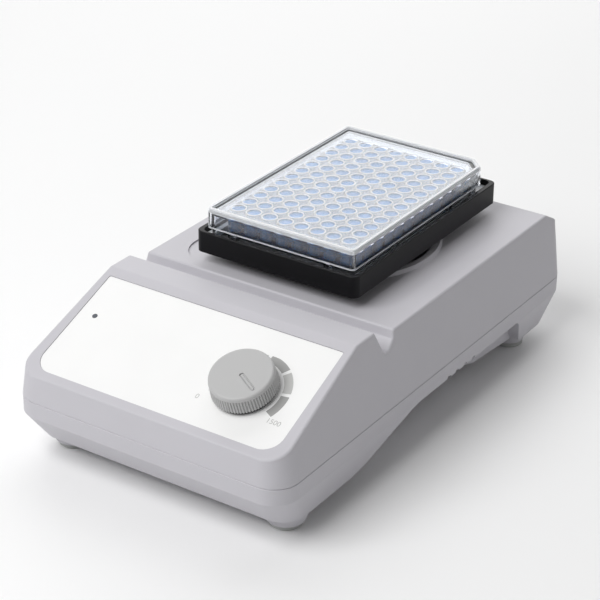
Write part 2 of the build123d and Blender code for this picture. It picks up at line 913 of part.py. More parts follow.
def drive_crank():
    """Crank on the motor shaft: hub, counterweight and eccentric pin."""
    crank = cylinder(hub_radius, hub_low_z, crank_z)
    crank += cylinder(crank_radius, crank_z, crank_top_z)
    sector = cylinder(counterweight_radius, crank_z, crank_top_z)
    sector &= block(
        -counterweight_radius, counterweight_radius, -counterweight_radius, -3, crank_z, crank_top_z
    )
    crank += sector
    crank += cylinder(pin_radius, crank_top_z, carrier_z + bearing_height - 0.1, 0, orbit_radius)
    crank -= cylinder(shaft_radius, hub_low_z, crank_top_z - 1)
    return Pos(0, axis_y, 0) * crank


def crank_bearing():
    """Ball bearing in the carrier: outer race, shield and inner race."""
    high = carrier_z + bearing_height
    outer = tube(bearing_radius, bearing_radius - bearing_race, carrier_z, high)
    inner = tube(pin_radius + bearing_race, pin_radius + turning_fit, carrier_z, high)
    shield = tube(bearing_radius - bearing_race, pin_radius + bearing_race, carrier_z + 0.6, high - 0.6)
    return Pos(0, tray_y, 0) * (outer + shield + inner)


def idler_crank(angle):
    """Idler crank with the same throw as the drive crank."""
    x, y = idler_place(angle)
    idler = cylinder(idler_journal_radius, bridge_z, crank_z)
    arm = slab(
        SlotCenterToCenter(
            orbit_radius, 2 * idler_arm_radius, rotation=90
        ), crank_z, crank_top_z, 0, orbit_radius / 2
    )
    idler += arm
    idler += cylinder(idler_journal_radius, crank_top_z, carrier_top_z, 0, orbit_radius)
    return Pos(x, y, 0) * idler


def idler_bushes(low, high, shift, flange_low):
    """Three flanged bushes for the idler journals."""
    bushes = []
    for angle in idler_angles.values():
        x, y = idler_place(angle)
        bush = cylinder(idler_bush_radius, low, high)
        bush += cylinder(bush_flange_radius, flange_low, flange_low + bush_flange)
        bush -= cylinder(idler_journal_radius + turning_fit, low - 1, high + 1)
        bushes.append(Pos(x, y + shift, 0) * bush)
    return joined(bushes)


def tray_carrier():
    """Orbiting casting: disc, bearing boss and four posts for the tray."""
    boss_top = carrier_z + bearing_height + carrier_cap
    carrier = cylinder(carrier_radius, carrier_z, carrier_top_z, 0, tray_y)
    carrier += cylinder(carrier_boss_radius, carrier_z, boss_top, 0, tray_y)
    carrier -= cylinder(bearing_radius, carrier_z, carrier_z + bearing_height, 0, tray_y)
    for x, y in carrier_posts:
        carrier += cylinder(carrier_post_radius, carrier_z, tray_ceiling_z, x, y)
        carrier -= cylinder(
            tray_screw_radius + thread_fit, seat_z - tray_screw_length - 0.5, tray_ceiling_z, x, y
        )
    for angle in idler_angles.values():
        x, y = idler_place(angle)
        carrier -= cylinder(idler_bush_radius, carrier_z, carrier_top_z, x, y + orbit_radius)
    return carrier


def plate_tray():
    """Black moulded tray: pocket for the plate above, ribbed hollow below."""
    pocket_width = plate_width + 2 * plate_gap
    pocket_length = plate_length + 2 * plate_gap
    width = pocket_width + 2 * tray_side_wall
    length = pocket_length + 2 * tray_end_wall
    top_z = tray_z + tray_height
    tray = slab(RectangleRounded(width, length, tray_corner), tray_z, top_z)
    rim = tray.edges().filter_by_position(Axis.Z, top_z - 0.01, top_z + 0.01)
    tray = fillet(rim, 0.5)
    pocket_corner = plate_corner + plate_gap
    tray -= slab(RectangleRounded(pocket_width, pocket_length, pocket_corner), seat_z, top_z)
    tray -= slab(RectangleRounded(pocket_width, pocket_length, pocket_corner), tray_z, tray_ceiling_z)
    rib_low = tray_ceiling_z - tray_rib_height
    ribs = [block(x - tray_rib / 2, x + tray_rib / 2, -length / 2 + 1, length / 2 - 1, rib_low, tray_ceiling_z)
            for x in (-tray_rib_x, tray_rib_x)]
    ribs += [block(-width / 2 + 1, width / 2 - 1, y - tray_rib / 2, y + tray_rib / 2, rib_low, tray_ceiling_z)
             for y in (-tray_rib_y, tray_rib_y)]
    for rib in ribs:
        tray += rib
    for x, y in carrier_posts:
        sink = tray_screw_head - tray_screw_radius
        tray -= cylinder(tray_screw_radius + thread_fit, tray_ceiling_z, seat_z, x, y - tray_y)
        cone = Cone(tray_screw_radius, tray_screw_head, sink, align=(Align.CENTER, Align.CENTER, Align.MAX))
        tray -= Pos(x, y - tray_y, seat_z) * cone
    return Pos(0, tray_y, 0) * tray


def tray_screws():
    """Four countersunk screws through the tray floor into the carrier posts."""
    sink = tray_screw_head - tray_screw_radius
    head = Cone(tray_screw_radius, tray_screw_head, sink, align=(Align.CENTER, Align.CENTER, Align.MAX))
    screw = head + cylinder(tray_screw_radius, -tray_screw_length, -sink)
    screw -= block(-tray_screw_head, tray_screw_head, -0.4, 0.4, -0.6, 0.1)
    screws = []
    for x, y in carrier_posts:
        screws.append(Pos(x, y, seat_z) * screw)
    return joined(screws)


def keyed_outline(width, length, radius):
    """Rounded rectangle with the key corner cut at the rear right."""
    face = RectangleRounded(width, length, radius)
    cut = make_face(
        Polyline(
            (width / 2 - key_chamfer, length / 2 + 1),
            (width / 2 + 1, length / 2 + 1),
            (width / 2 + 1, length / 2 - key_chamfer),
            (width / 2, length / 2 - key_chamfer),
            (width / 2 - key_chamfer, length / 2),
            close=True,
        )
    )
    return face - cut


def microplate():
    """96-well plate: flange, keyed wall, deck and a block with the wells."""
    wall_width = lid_width - 2 * lid_wall - 2 * lid_gap
    wall_length = lid_length - 2 * lid_wall - 2 * lid_gap
    flange = slab(RectangleRounded(plate_width, plate_length, plate_corner), seat_z, seat_z + plate_flange)
    plate = flange + slab(
        keyed_outline(wall_width, wall_length, lid_corner - lid_wall / 2), seat_z, plate_top_z
    )
    for x in (-lug_x, lug_x):
        plate += block(
            x - lug_width / 2, x + lug_width / 2, -wall_length / 2 - lug_out - lid_wall, wall_length / 2 + lug_out + lid_wall,
            seat_z + 1, lid_skirt_z - 0.2,
        )
    for y in (-lug_y, lug_y):
        plate += block(
            -wall_width / 2 - lug_out - lid_wall, wall_width / 2 + lug_out + lid_wall, y - lug_width / 2, y + lug_width / 2,
            seat_z + 1, lid_skirt_z - 0.2,
        )
    inner_width = wall_width - 2 * plate_wall
    inner_length = wall_length - 2 * plate_wall
    plate -= slab(RectangleRounded(inner_width, inner_length, 1.0), seat_z, deck_z - plate_deck) & slab(
        keyed_outline(
            wall_width - 2 * plate_wall, wall_length - 2 * plate_wall, 1.0
        ), seat_z, deck_z - plate_deck
    )
    plate -= slab(keyed_outline(inner_width, inner_length, 1.0), deck_z, plate_top_z)
    reach_x = (well_columns - 1) / 2 * well_pitch
    reach_y = (well_rows - 1) / 2 * well_pitch
    around = well_radius + well_wall
    low = deck_z - well_depth - well_floor
    plate += slab(RectangleRounded(2 * (reach_x + around), 2 * (reach_y + around), around), low, deck_z)
    wells = [Pos(x, y) for x, y in well_places()]
    bores = Sketch() + [place * Circle(well_radius) for place in wells]
    plate -= slab(bores, deck_z - well_depth, deck_z)
    return Pos(0, tray_y, 0) * plate


def well_places():
    """Centres of the wells about the middle of the plate."""
    places = []
    for column in range(well_columns):
        for row in range(well_rows):
            x = (column - (well_columns - 1) / 2) * well_pitch
            y = (row - (well_rows - 1) / 2) * well_pitch
            places.append((x, y))
    return places


def plate_lid():
    """Clear lid with a skirt, a deck and a raised stacking rim."""
    deck_top = plate_top_z + lid_deck
    rim_top = deck_top + lid_rim_height
    lid = slab(keyed_outline(lid_width, lid_length, lid_corner), lid_skirt_z, deck_top)
    rim_width = lid_width - 2 * lid_rim_inset
    rim_length = lid_length - 2 * lid_rim_inset
    lid += slab(keyed_outline(rim_width, rim_length, lid_corner), deck_top, rim_top)
    lid -= slab(
        keyed_outline(
            rim_width - 2 * lid_rim_width, rim_length - 2 * lid_rim_width, lid_corner / 2
        ), deck_top, rim_top
    )
    lid -= slab(
        keyed_outline(
            lid_width - 2 * lid_wall, lid_length - 2 * lid_wall, lid_corner / 2
        ), lid_skirt_z, plate_top_z
    )
    return Pos(0, tray_y, 0) * lid


def speed_knob():
    """Ribbed control knob with a rounded top edge, an inner hub and an engraved pointer."""
    high = knob_gap + knob_height
    profile = make_face(
        Plane.XZ
        * Polyline((0, knob_gap), (knob_radius, knob_gap), (knob_top_radius, high), (0, high), close=True)
    )
    knob = revolve(profile, Axis.Z)
    top_edge = knob.edges().filter_by(GeomType.CIRCLE).sort_by(Axis.Z)[-1]
    knob = fillet(top_edge, knob_edge)
    inner = cylinder(knob_radius - knob_shell, knob_gap, high - knob_shell)
    inner -= cylinder(knob_hub_radius, control_bush_reach, high)
    knob -= inner
    knob -= cylinder(control_shaft_radius + close_fit, 0, high - knob_shell)
    slope = (knob_radius - knob_top_radius) / knob_height
    vee = make_face(
        Polyline(
            (knob_radius - knob_rib_depth, 0),
            (knob_radius + knob_rib_depth, -knob_rib_width),
            (knob_radius + knob_rib_depth, knob_rib_width),
            close=True,
        )
    )
    lean = Vector(-slope, 0, 1)
    groove = extrude(vee, knob_rib_height + 1, dir=(lean.X, lean.Y, lean.Z))
    for i in range(knob_ribs):
        knob -= Rot(0, 0, i * 360 / knob_ribs) * Pos(slope, 0, knob_gap - 1) * groove
    length = pointer_end - pointer_start
    slot = slab(
        SlotOverall(length, pointer_width), high - pointer_depth, high + 1, pointer_start + length / 2
    )
    knob -= Rot(0, 0, pointer_angle) * slot
    return on_panel(knob, knob_x, knob_s)


def control_shaft():
    """Shaft of the rotary control, turning with the knob."""
    high = knob_gap + knob_height - knob_shell - 0.2
    return on_panel(cylinder(control_shaft_radius, -wall - 2.5, high), knob_x, knob_s)


def speed_control():
    """Rotary control fixed behind the control face."""
    under = -(wall - panel_sink) - 0.5
    body = cylinder(control_body_radius, under - control_body_height, under)
    body += cylinder(control_bush_radius, under, control_bush_reach - 0.6)
    body -= cylinder(control_shaft_radius + turning_fit, -wall - 2.8, control_bush_reach + 1)
    tag = block(-6, 6, -control_body_radius - 4, -control_body_radius + 2, under - 3, under - 2)
    return on_panel(body + tag, knob_x, knob_s)


def control_nut():
    """Nut that clamps the rotary control to the panel."""
    nut = slab(
        RegularPolygon(control_nut_radius, 6), -overlay_thickness, control_nut_height - overlay_thickness
    )
    nut -= cylinder(control_bush_radius + thread_fit, -1, control_nut_height + 1)
    return on_panel(nut, knob_x, knob_s)


def power_lamp():
    """Small lamp lens through the overlay."""
    lens = cylinder(lamp_radius, -lamp_board_drop + 2.5, 0.1)
    lens += cylinder(lamp_base_radius, -lamp_board_drop, -lamp_board_drop + 2.5)
    return on_panel(lens, lamp_x, lamp_s)


def lamp_board():
    """Small board that carries the lamp behind the panel."""
    high = -lamp_board_drop
    board = slab(Rectangle(lamp_board_size, lamp_board_size * 0.7), high - lamp_board_thickness, high)
    return on_panel(board, lamp_x, lamp_s)


def control_board():
    """Main circuit board on its four posts."""
    board = slab(
        RectangleRounded(board_width, board_depth, 2), board_z, board_z + board_thickness, 0, board_y
    )
    for x, y in board_posts:
        board -= cylinder(board_screw_radius + thread_fit, board_z, board_z + board_thickness, x, y)
    return board


def board_screws():
    """Four screws that hold the board."""
    screw = pan_screw(board_screw_radius - close_fit, board_screw_head, 1.6, 6)
    return joined([Pos(x, y, board_z + board_thickness) * screw for x, y in board_posts])


def board_heatsink():
    """Finned heat sink of the motor regulator."""
    low = board_z + board_thickness
    y = board_y + board_depth / 2 - 12
    sink = block(-14, 14, y - 1.2, y + 1.2, low, low + 22)
    for i in range(7):
        x = -12 + i * 4
        sink += block(x - 0.7, x + 0.7, y, y + 8, low, low + 22)
    return sink


def board_capacitors():
    """Two round capacitors on the board."""
    low = board_z + board_thickness
    cans = []
    for x in (11 - board_width / 2, 25 - board_width / 2):
        can = cylinder(5, low, low + 16, x, board_y - 8)
        cans.append(chamfer(can.edges().sort_by(Axis.Z)[-1], 0.6))
    return joined(cans)


def board_terminals():
    """Screw terminal block for the mains, motor and control wires."""
    low = board_z + board_thickness
    y = board_y - 10
    right = board_width / 2 - 4
    high = low + terminal_height
    left = right - terminal_length
    terminal = block(left, right, y - terminal_depth / 2, y + terminal_depth / 2, low, high)
    for i in range(5):
        x = left + 2.5 + i * 5
        terminal -= cylinder(1.7, high - 3, high, x, y)
        terminal -= block(x - 1.6, x + 1.6, y - 6, y - 2, low + 1.5, low + 5.5)
    return terminal


def socket_outline(width, height):
    """Mains socket outline with its two cut upper corners."""
    face = Rectangle(width, height)
    return chamfer(face.vertices().sort_by(Axis.Y)[-2:], inlet_socket_chamfer)


def mains_inlet():
    """Mains inlet: flange, body and socket."""
    high = rear_plane_y + rear_flange
    flange = RectangleRounded(inlet_flange_width, inlet_flange_height, 1.5)
    inlet = rear_slab(flange, rear_plane_y, high, inlet_x)
    inlet += rear_slab(
        Rectangle(inlet_width, inlet_height), rear_plane_y - inlet_depth, rear_plane_y, inlet_x
    )
    inlet -= rear_slab(
        socket_outline(inlet_socket_width, inlet_socket_height), high - inlet_socket_depth, high, inlet_x
    )
    for pin in inlet_pin_outlines(0):
        inlet -= rear_slab(pin, rear_plane_y - inlet_depth, high, inlet_x)
    return inlet


def inlet_pin_outlines(growth):
    """Outlines of the three contact pins about the inlet centre."""
    outlines = []
    for x, rise in (
        (-inlet_pin_spread, -inlet_pin_rise), (inlet_pin_spread, -inlet_pin_rise), (0, inlet_pin_rise)
    ):
        outlines.append(Pos(x, rise) * Rectangle(inlet_pin_width + growth, inlet_pin_height + growth))
    return outlines


def inlet_pins():
    """Three flat contact pins that run through the inlet to their solder tails."""
    low = rear_plane_y - inlet_depth - inlet_tail
    high = rear_plane_y + rear_flange - 3
    return joined([rear_slab(pin, low, high, inlet_x) for pin in inlet_pin_outlines(0)])


def switch_frame():
    """Snap-in frame of the power switch."""
    high = rear_plane_y + rear_flange
    frame = rear_slab(
        RectangleRounded(switch_flange_width, switch_flange_height, 1.2), rear_plane_y, high, switch_x
    )
    frame += rear_slab(
        Rectangle(switch_width, switch_height), rear_plane_y - switch_depth, rear_plane_y, switch_x
    )
    opening = Rectangle(switch_width - 2 * switch_wall, 2 * (rocker_radius + rocker_gap))
    frame -= rear_slab(opening, rear_plane_y - switch_depth + 1.5, high, switch_x)
    pivot_y = high - rocker_pivot_back
    pin = Pos(switch_x, pivot_y, rear_centre_z) * Rot(0, 90, 0) * Cylinder(
        rocker_pin_radius + turning_fit, switch_width
    )
    return frame - pin


def switch_rocker():
    """Rocker with a shallow valley, lying at its off position."""
    pivot_y = rear_plane_y + rear_flange - rocker_pivot_back
    half = rocker_throw / 2
    face = Circle(rocker_radius)
    keep = make_face(
        Polyline(
            (rocker_rise, rocker_radius + 1),
            (rocker_valley, 0),
            (rocker_rise, -rocker_radius - 1),
            (-rocker_radius * 0.4, -rocker_radius - 1),
            (-rocker_radius * 0.4, rocker_radius + 1),
            close=True,
        )
    )
    profile = Rot(0, 0, -half) * (face & keep)
    width = switch_width - 2 * switch_wall - 2 * rocker_gap
    rocker = extrude(Plane.YZ * profile, width / 2, both=True)
    pin = Rot(0, 90, 0) * Cylinder(rocker_pin_radius, switch_width - 0.6)
    return Pos(switch_x, pivot_y, rear_centre_z) * (rocker + pin)


def fuse_holder():
    """Round fuse holder body in the rear wall."""
    high = rear_plane_y + rear_flange
    low = rear_plane_y - fuse_depth
    holder = rear_cylinder(fuse_flange_radius, rear_plane_y, high - 0.8, fuse_x)
    holder += rear_cylinder(fuse_radius, low, rear_plane_y, fuse_x)
    return holder - rear_cylinder(fuse_cap_radius + turning_fit, low + fuse_wall, high, fuse_x)


def fuse_cap():
    """Cap that turns to free the fuse."""
    high = rear_plane_y + rear_flange
    cap = rear_cylinder(fuse_cap_radius, high - fuse_cap_reach, high, fuse_x)
    slot = Rectangle(2 * fuse_cap_radius - 2, fuse_slot_width)
    cap -= rear_slab(slot, high - fuse_slot_depth, high, fuse_x)
    return cap - rear_cylinder(
        fuse_tube_radius + close_fit, high - fuse_cap_reach, high - fuse_cap_reach + 4, fuse_x
    )


def fuse_link():
    """Glass fuse between the cap and the end of the holder."""
    start = rear_plane_y - fuse_depth + fuse_wall
    end = rear_plane_y + rear_flange - fuse_cap_reach + 4
    return rear_cylinder(fuse_tube_radius, start, end, fuse_x)


def all_parts():
    """Every node of the shaker by name."""
    parts = {
        "lower_housing": lower_housing(),
        "upper_housing": upper_housing(),
        "control_panel": control_panel(),
        "power_lamp": power_lamp(),
        "lamp_board": lamp_board(),
        "housing_screws": housing_screws(),
        "bridge_plate": bridge_plate(),
        "bridge_standoffs": bridge_standoffs(),
        "standoff_screws": standoff_screws(),
        "motor_stack": motor_stack(),
        "coil_bobbin": coil_bobbin(),
        "motor_coil": motor_coil(),
        "motor_bracket_top": motor_bracket(True),
        "motor_bracket_bottom": motor_bracket(False),
        "motor_bushes": motor_bushes(),
        "motor_spacers": motor_spacers(),
        "motor_bolts": motor_bolts(),
        "motor_shaft": motor_shaft(),
        "motor_rotor": motor_rotor(),
        "motor_fan": motor_fan(),
        "drive_crank": drive_crank(),
        "crank_bearing": crank_bearing(),
        "tray_carrier": tray_carrier(),
        "plate_tray": plate_tray(),
        "tray_screws": tray_screws(),
        "microplate": microplate(),
        "plate_lid": plate_lid(),
        "speed_knob": speed_knob(),
        "control_shaft": control_shaft(),
        "speed_control": speed_control(),
        "control_nut": control_nut(),
        "control_board": control_board(),
        "board_screws": board_screws(),
        "board_heatsink": board_heatsink(),
        "board_capacitors": board_capacitors(),
        "board_terminals": board_terminals(),
        "mains_inlet": mains_inlet(),
        "inlet_pins": inlet_pins(),
        "switch_frame": switch_frame(),
        "switch_rocker": switch_rocker(),
        "fuse_holder": fuse_holder(),
        "fuse_cap": fuse_cap(),
        "fuse_link": fuse_link(),
    }
    parts["bridge_bushes"] = idler_bushes(bridge_z, bridge_top_z, 0, bridge_top_z)
    parts["carrier_bushes"] = idler_bushes(carrier_z, carrier_top_z, orbit_radius, carrier_top_z)
    for name, angle in idler_angles.items():
        parts["idler_crank_" + name] = idler_crank(angle)
    for name, (x, y) in feet.items():
        parts["foot_" + name] = rubber_foot(x, y)
    return parts


def main():
    os.makedirs("parts", exist_ok=True)
    for name, part in all_parts().items():
        export_step(part, os.path.join("parts", name + ".step"))


main()
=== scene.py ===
import json
import math

import bmesh
import bpy
from bpy.props import FloatProperty, FloatVectorProperty, IntProperty, PointerProperty
from mathutils import Matrix, Vector


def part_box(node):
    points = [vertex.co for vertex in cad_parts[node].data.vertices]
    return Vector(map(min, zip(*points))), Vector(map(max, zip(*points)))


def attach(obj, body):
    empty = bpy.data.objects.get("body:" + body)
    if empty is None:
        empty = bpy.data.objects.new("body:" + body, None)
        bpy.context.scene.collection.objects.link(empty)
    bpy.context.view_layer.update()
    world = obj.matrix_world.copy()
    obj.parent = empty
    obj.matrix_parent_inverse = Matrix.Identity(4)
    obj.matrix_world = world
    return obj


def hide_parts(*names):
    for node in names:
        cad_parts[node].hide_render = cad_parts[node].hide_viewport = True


bl_info = {
    "name": "Microplate Shaker",
    "version": (1, 0, 0),
    "blender": (4, 5, 0),
    "location": "View3D > Sidebar > Shaker",
    "description": "Finishes and small pieces of a microplate shaker, built round its CAD frame",
    "category": "Object",
}

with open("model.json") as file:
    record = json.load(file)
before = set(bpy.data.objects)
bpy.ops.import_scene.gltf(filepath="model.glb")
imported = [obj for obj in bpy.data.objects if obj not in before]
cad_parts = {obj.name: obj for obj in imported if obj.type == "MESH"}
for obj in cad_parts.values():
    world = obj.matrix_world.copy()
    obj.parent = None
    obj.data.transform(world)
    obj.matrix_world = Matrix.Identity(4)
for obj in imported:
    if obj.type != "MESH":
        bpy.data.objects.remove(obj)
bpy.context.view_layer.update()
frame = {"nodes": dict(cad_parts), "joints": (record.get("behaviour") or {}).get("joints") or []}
JOINTS = {joint["name"]: joint for joint in frame["joints"]}
MM = 0.001


def colour_property(name, description, default):
    """A linear colour that shows as a swatch."""
    return FloatVectorProperty(
        name=name, description=description, subtype="COLOR", size=3, min=0, max=1, default=default
    )


def length_property(name, description, millimetres):
    """A length in metres, given in millimetres."""
    return FloatProperty(
        name=name, description=description, unit="LENGTH", precision=5, default=millimetres * MM
    )


def angle_property(name, description, degrees):
    """An angle, given in degrees."""
    return FloatProperty(
        name=name, description=description, subtype="ANGLE", default=math.radians(degrees)
    )


def share_property(name, description, share):
    """A share from 0 to 1."""
    return FloatProperty(
        name=name, description=description, subtype="FACTOR", min=0, max=1, default=share
    )


def place_property(name, description, place):
    """A place in metres."""
    return FloatVectorProperty(
        name=name, description=description, subtype="XYZ", unit="LENGTH", size=3, default=place
    )


def power_property(name, description, watts):
    """The power of a lamp."""
    return FloatProperty(name=name, description=description, unit="POWER", default=watts)


class ShakerColours(bpy.types.PropertyGroup):
    """Colours of the shaker's finishes."""

    housing: colour_property("Housing", "Warm light grey of both housings", (0.54, 0.53, 0.565))
    overlay: colour_property("Overlay", "White of the control overlay", (0.90, 0.90, 0.895))
    print_dark: colour_property("Dark print", "Darker grey of the dial's print", (0.36, 0.36, 0.355))
    print_light: colour_property("Light print", "Lighter grey of the dial's print", (0.52, 0.52, 0.51))
    knob: colour_property("Knob", "Grey of the speed knob", (0.475, 0.475, 0.475))
    tray: colour_property("Tray", "Black of the plate tray", (0.008, 0.008, 0.009))
    clear: colour_property("Clear plastic", "Tint of the plate and its lid", (0.95, 0.97, 1.0))
    liquid: colour_property("Liquid", "Blue of the liquid in the wells", (0.03, 0.24, 0.58))
    rubber: colour_property("Feet", "Pale rubber of the feet", (0.42, 0.43, 0.42))
    steel: colour_property("Steel", "Turned steel of shafts and screws", (0.56, 0.56, 0.57))
    aluminium: colour_property("Aluminium", "Milled and cast aluminium", (0.66, 0.66, 0.67))
    brass: colour_property("Bush", "Sintered bronze of the bushes", (0.50, 0.34, 0.14))
    winding: colour_property("Winding", "Enamelled copper wire", (0.42, 0.13, 0.04))
    lamination: colour_property("Lamination", "Varnished motor iron", (0.045, 0.05, 0.055))
    board: colour_property("Board", "Solder mask of the circuit boards", (0.015, 0.12, 0.04))
    dark: colour_property("Dark plastic", "Black plastic of the electrical parts", (0.02, 0.02, 0.022))
    lamp: colour_property("Lamp", "Smoky lens of the unlit lamp", (0.10, 0.11, 0.13))
    ceramic: colour_property("Fuse", "White body of the fuse", (0.70, 0.70, 0.68))


class ShakerDial(bpy.types.PropertyGroup):
    """The dial that is printed round the knob. Angles run anticlockwise from the operator's right."""

    inner_radius: length_property("Inner radius", "Inside of the printed band", 17.0)
    outer_radius: length_property("Outer radius", "Outside of the full band", 21.1)
    full_angle: angle_property("Full width angle", "Where the growing band is full", 75)
    low_angle: angle_property("Low end", "Where the band starts, at the slow end", 206)
    high_angle: angle_property("High end", "Where the band ends, at the fast end", -26)
    fields: IntProperty(name="Fields", description="Number of fields in the band", default=6, min=1)
    gap_angle: angle_property("Gap", "Angle left white between two fields", 5)
    print_height: length_property("Print thickness", "How far the print stands on the overlay", 0.03)
    number_height: length_property("Number height", "Height of the dial's numbers", 3.7)
    low_number_radius: length_property("Low number radius", "Distance of the 0 from the centre", 22.0)
    low_number_angle: angle_property("Low number angle", "Direction of the 0", 212.5)
    high_number_radius: length_property("High number radius", "Distance of the 1500", 24.6)
    high_number_angle: angle_property("High number angle", "Direction of the 1500", -27.8)


class ShakerKnob(bpy.types.PropertyGroup):
    """The speed knob. Heights are over the control face."""

    radius: length_property("Radius", "Radius at the foot", 15.6)
    top_radius: length_property("Top radius", "Radius at the top, before its edge is rounded", 14.9)
    foot: length_property("Foot", "Height of the foot", 2.0)
    top: length_property("Top", "Height of the top", 10.5)
    edge: length_property("Edge", "Rounding of the top edge", 1.2)
    shell: length_property("Shell", "Thickness of the shell", 2.2)
    ribs: IntProperty(name="Ribs", description="Number of ribs", default=72, min=3)
    rib_depth: length_property("Rib depth", "Depth of the grooves between the ribs", 0.6)
    rib_end: length_property("Rib end", "Height over which the grooves run out", 0.25)
    rib_height: length_property("Rib height", "Height of the ribs", 6.3)
    pointer_angle: angle_property("Pointer angle", "Direction of the pointer", -29)
    pointer_start: length_property("Pointer start", "Distance of the pointer's inner end", -0.1)
    pointer_end: length_property("Pointer end", "Distance of the pointer's outer end", 12.2)
    pointer_width: length_property("Pointer width", "Width of the pointer", 2.3)
    pointer_depth: length_property("Pointer depth", "Depth of the pointer", 0.6)
    pointer_clearance: length_property("Pointer clearance", "Gap beside the bar in the slot", 0.45)
    # The dark ring below is painted shade: it stands in for the shadow in the gap under the knob.
    shade_ring: length_property("Washer", "Width of the rubber washer under the knob", 1.0)
    shade_ring_gap: length_property("Washer gap", "Gap between the washer and the control face", 0.1)


class ShakerPlate(bpy.types.PropertyGroup):
    """Wells of the microplate and what is in them."""

    columns: IntProperty(name="Columns", description="Wells across the plate", default=8, min=1)
    rows: IntProperty(name="Rows", description="Wells along the plate", default=12, min=1)
    pitch: length_property("Pitch", "Distance between two wells", 9.0)
    well_radius: length_property("Well radius", "Inner radius of a well", 3.2)
    well_depth: length_property("Well depth", "Depth of a well below the deck", 9.6)
    deck_sink: length_property("Deck sink", "How far the deck lies below the plate's rim", 0.8)
    fill_depth: length_property("Fill depth", "Depth of the liquid", 8.7)
    meniscus: length_property("Meniscus", "How far the liquid climbs at the well's wall", 0.4)
    flange: length_property("Flange", "Height of the flange round the foot of the plate", 2.5)
    rim_radius: length_property("Rim radius", "Inner radius of the raised rim round a well", 3.45)
    rim_height: length_property("Rim height", "Height of the raised rim round a well", 0.35)
    rim_width: length_property("Rim width", "Width of the raised rim round a well", 0.55)
    rim_slope: length_property("Rim slope", "How far the rim's sides lean in", 0.1)
    wet: length_property("Wet skin", "How far the liquid reaches into the well's wall", 0.02)


class ShakerClear(bpy.types.PropertyGroup):
    """Painted highlight: where the clear polystyrene of the plate and its lid is made white, standing in
    for light that catches its edges and its top.
    """

    # Each white share below is painted highlight, mixed into the clear plastic in its band.
    skin: length_property("Skin", "How far a white band reaches past the surface", 0.1)
    flange: share_property("Flange", "White in the plate's flange", 1.0)
    deck: share_property("Deck", "White in the plate's deck and rim", 0.2)
    skirt_height: length_property("Skirt edge height", "Height of the white edge of the lid's skirt", 0.5)
    skirt: share_property("Skirt edge", "White in the lower edge of the lid's skirt", 0.7)
    roof: share_property("Roof", "White in the lid's flat top", 0.06)
    rim_height: length_property("Stacking rim height", "Height of the white part of the lid's rim", 0.9)
    rim: share_property("Stacking rim", "White in the lid's stacking rim", 0.85)
    border_width: length_property("Border width", "Width of the white border of the lid's top", 1.0)
    border: share_property("Border", "White in the border of the lid's top", 0.6)


class ShakerStage(bpy.types.PropertyGroup):
    """Camera and light."""

    azimuth: angle_property("Azimuth", "Camera direction round the shaker", 33.713)
    elevation: angle_property("Elevation", "Camera height over the horizon", 27.494)
    roll: angle_property("Roll", "Camera roll", 0.48)
    camera: place_property("Camera place", "Where the camera stands", (0.4770, -0.7198, 0.4972))
    lens: FloatProperty(
        name="Lens", description="Focal length on a 36 mm sensor", unit="CAMERA", default=120.87
    )
    target: place_property("Target", "Point that the lamps look at", (0, 0, 0.05))
    key: power_property("Key light", "Power of the large light from the front", 13.4)
    key_place: place_property("Key place", "Where the key light stands", (-0.30, -0.78, 1.05))
    key_size: length_property("Key size", "Side of the key light", 900)
    top: power_property("Top light", "Power of the light from behind, which the lid mirrors", 7.6)
    top_place: place_property("Top place", "Where the top light stands", (-0.45, 0.8, 0.75))
    top_size: length_property("Top size", "Side of the top light", 1350)
    fill: power_property("Fill light", "Power of the light from the right", 0.6)
    fill_place: place_property("Fill place", "Where the fill light stands", (0.9, 0.1, 0.5))
    fill_size: length_property("Fill size", "Side of the fill light", 800)
    room: share_property("Room light", "Strength of the room's even light", 0.26)
    mirrored: share_property("Mirrored room", "Share of the white room that gloss shows", 0.5)
    room_colour: colour_property("Room colour", "Colour of the room", (0.8, 0.8, 0.8))
    floor: colour_property("Floor", "Pale floor", (0.93, 0.93, 0.93))
    floor_reach: length_property("Floor reach", "Half the side of the floor", 3000)


class Value:
    """A shader socket that can stand in a Python expression."""

    def __init__(self, shader, socket):
        self.shader = shader
        self.socket = socket

    def math(self, operation, first, second=0.0):
        return self.shader.node("ShaderNodeMath", {"operation": operation}, {0: first, 1: second})

    def __add__(self, other):
        return self.math("ADD", self, other)

    def __radd__(self, other):
        return self.math("ADD", other, self)

    def __sub__(self, other):
        return self.math("SUBTRACT", self, other)

    def __rsub__(self, other):
        return self.math("SUBTRACT", other, self)

    def __mul__(self, other):
        return self.math("MULTIPLY", self, other)

    def __rmul__(self, other):
        return self.math("MULTIPLY", other, self)

    def __truediv__(self, other):
        return self.math("DIVIDE", self, other)

    def __mod__(self, other):
        return self.math("FLOORED_MODULO", self, other)

    def __gt__(self, other):
        return self.math("GREATER_THAN", self, other)

    def __lt__(self, other):
        return self.math("LESS_THAN", self, other)

    def __abs__(self):
        return self.math("ABSOLUTE", self)

    def largest(self, other):
        return self.math("MAXIMUM", self, other)

    def clamped(self):
        return self.shader.node("ShaderNodeClamp", {}, {0: self, 1: 0.0, 2: 1.0})


class Nodes:
    """A node tree while it is being made."""

    def __init__(self, tree):
        self.tree = tree

    def node(self, kind, settings, sockets, output=0):
        """Adds a node: its settings first, then the values or links of its sockets."""
        node = self.tree.nodes.new(kind)
        for name, value in settings.items():
            setattr(node, name, value)
        self.fill(node, sockets)
        return Value(self, node.outputs[output])

    def fill(self, node, sockets):
        """Gives a node's sockets their values or links."""
        for name, value in sockets.items():
            if isinstance(value, Value):
                self.tree.links.new(value.socket, node.inputs[name])
            else:
                node.inputs[name].default_value = value


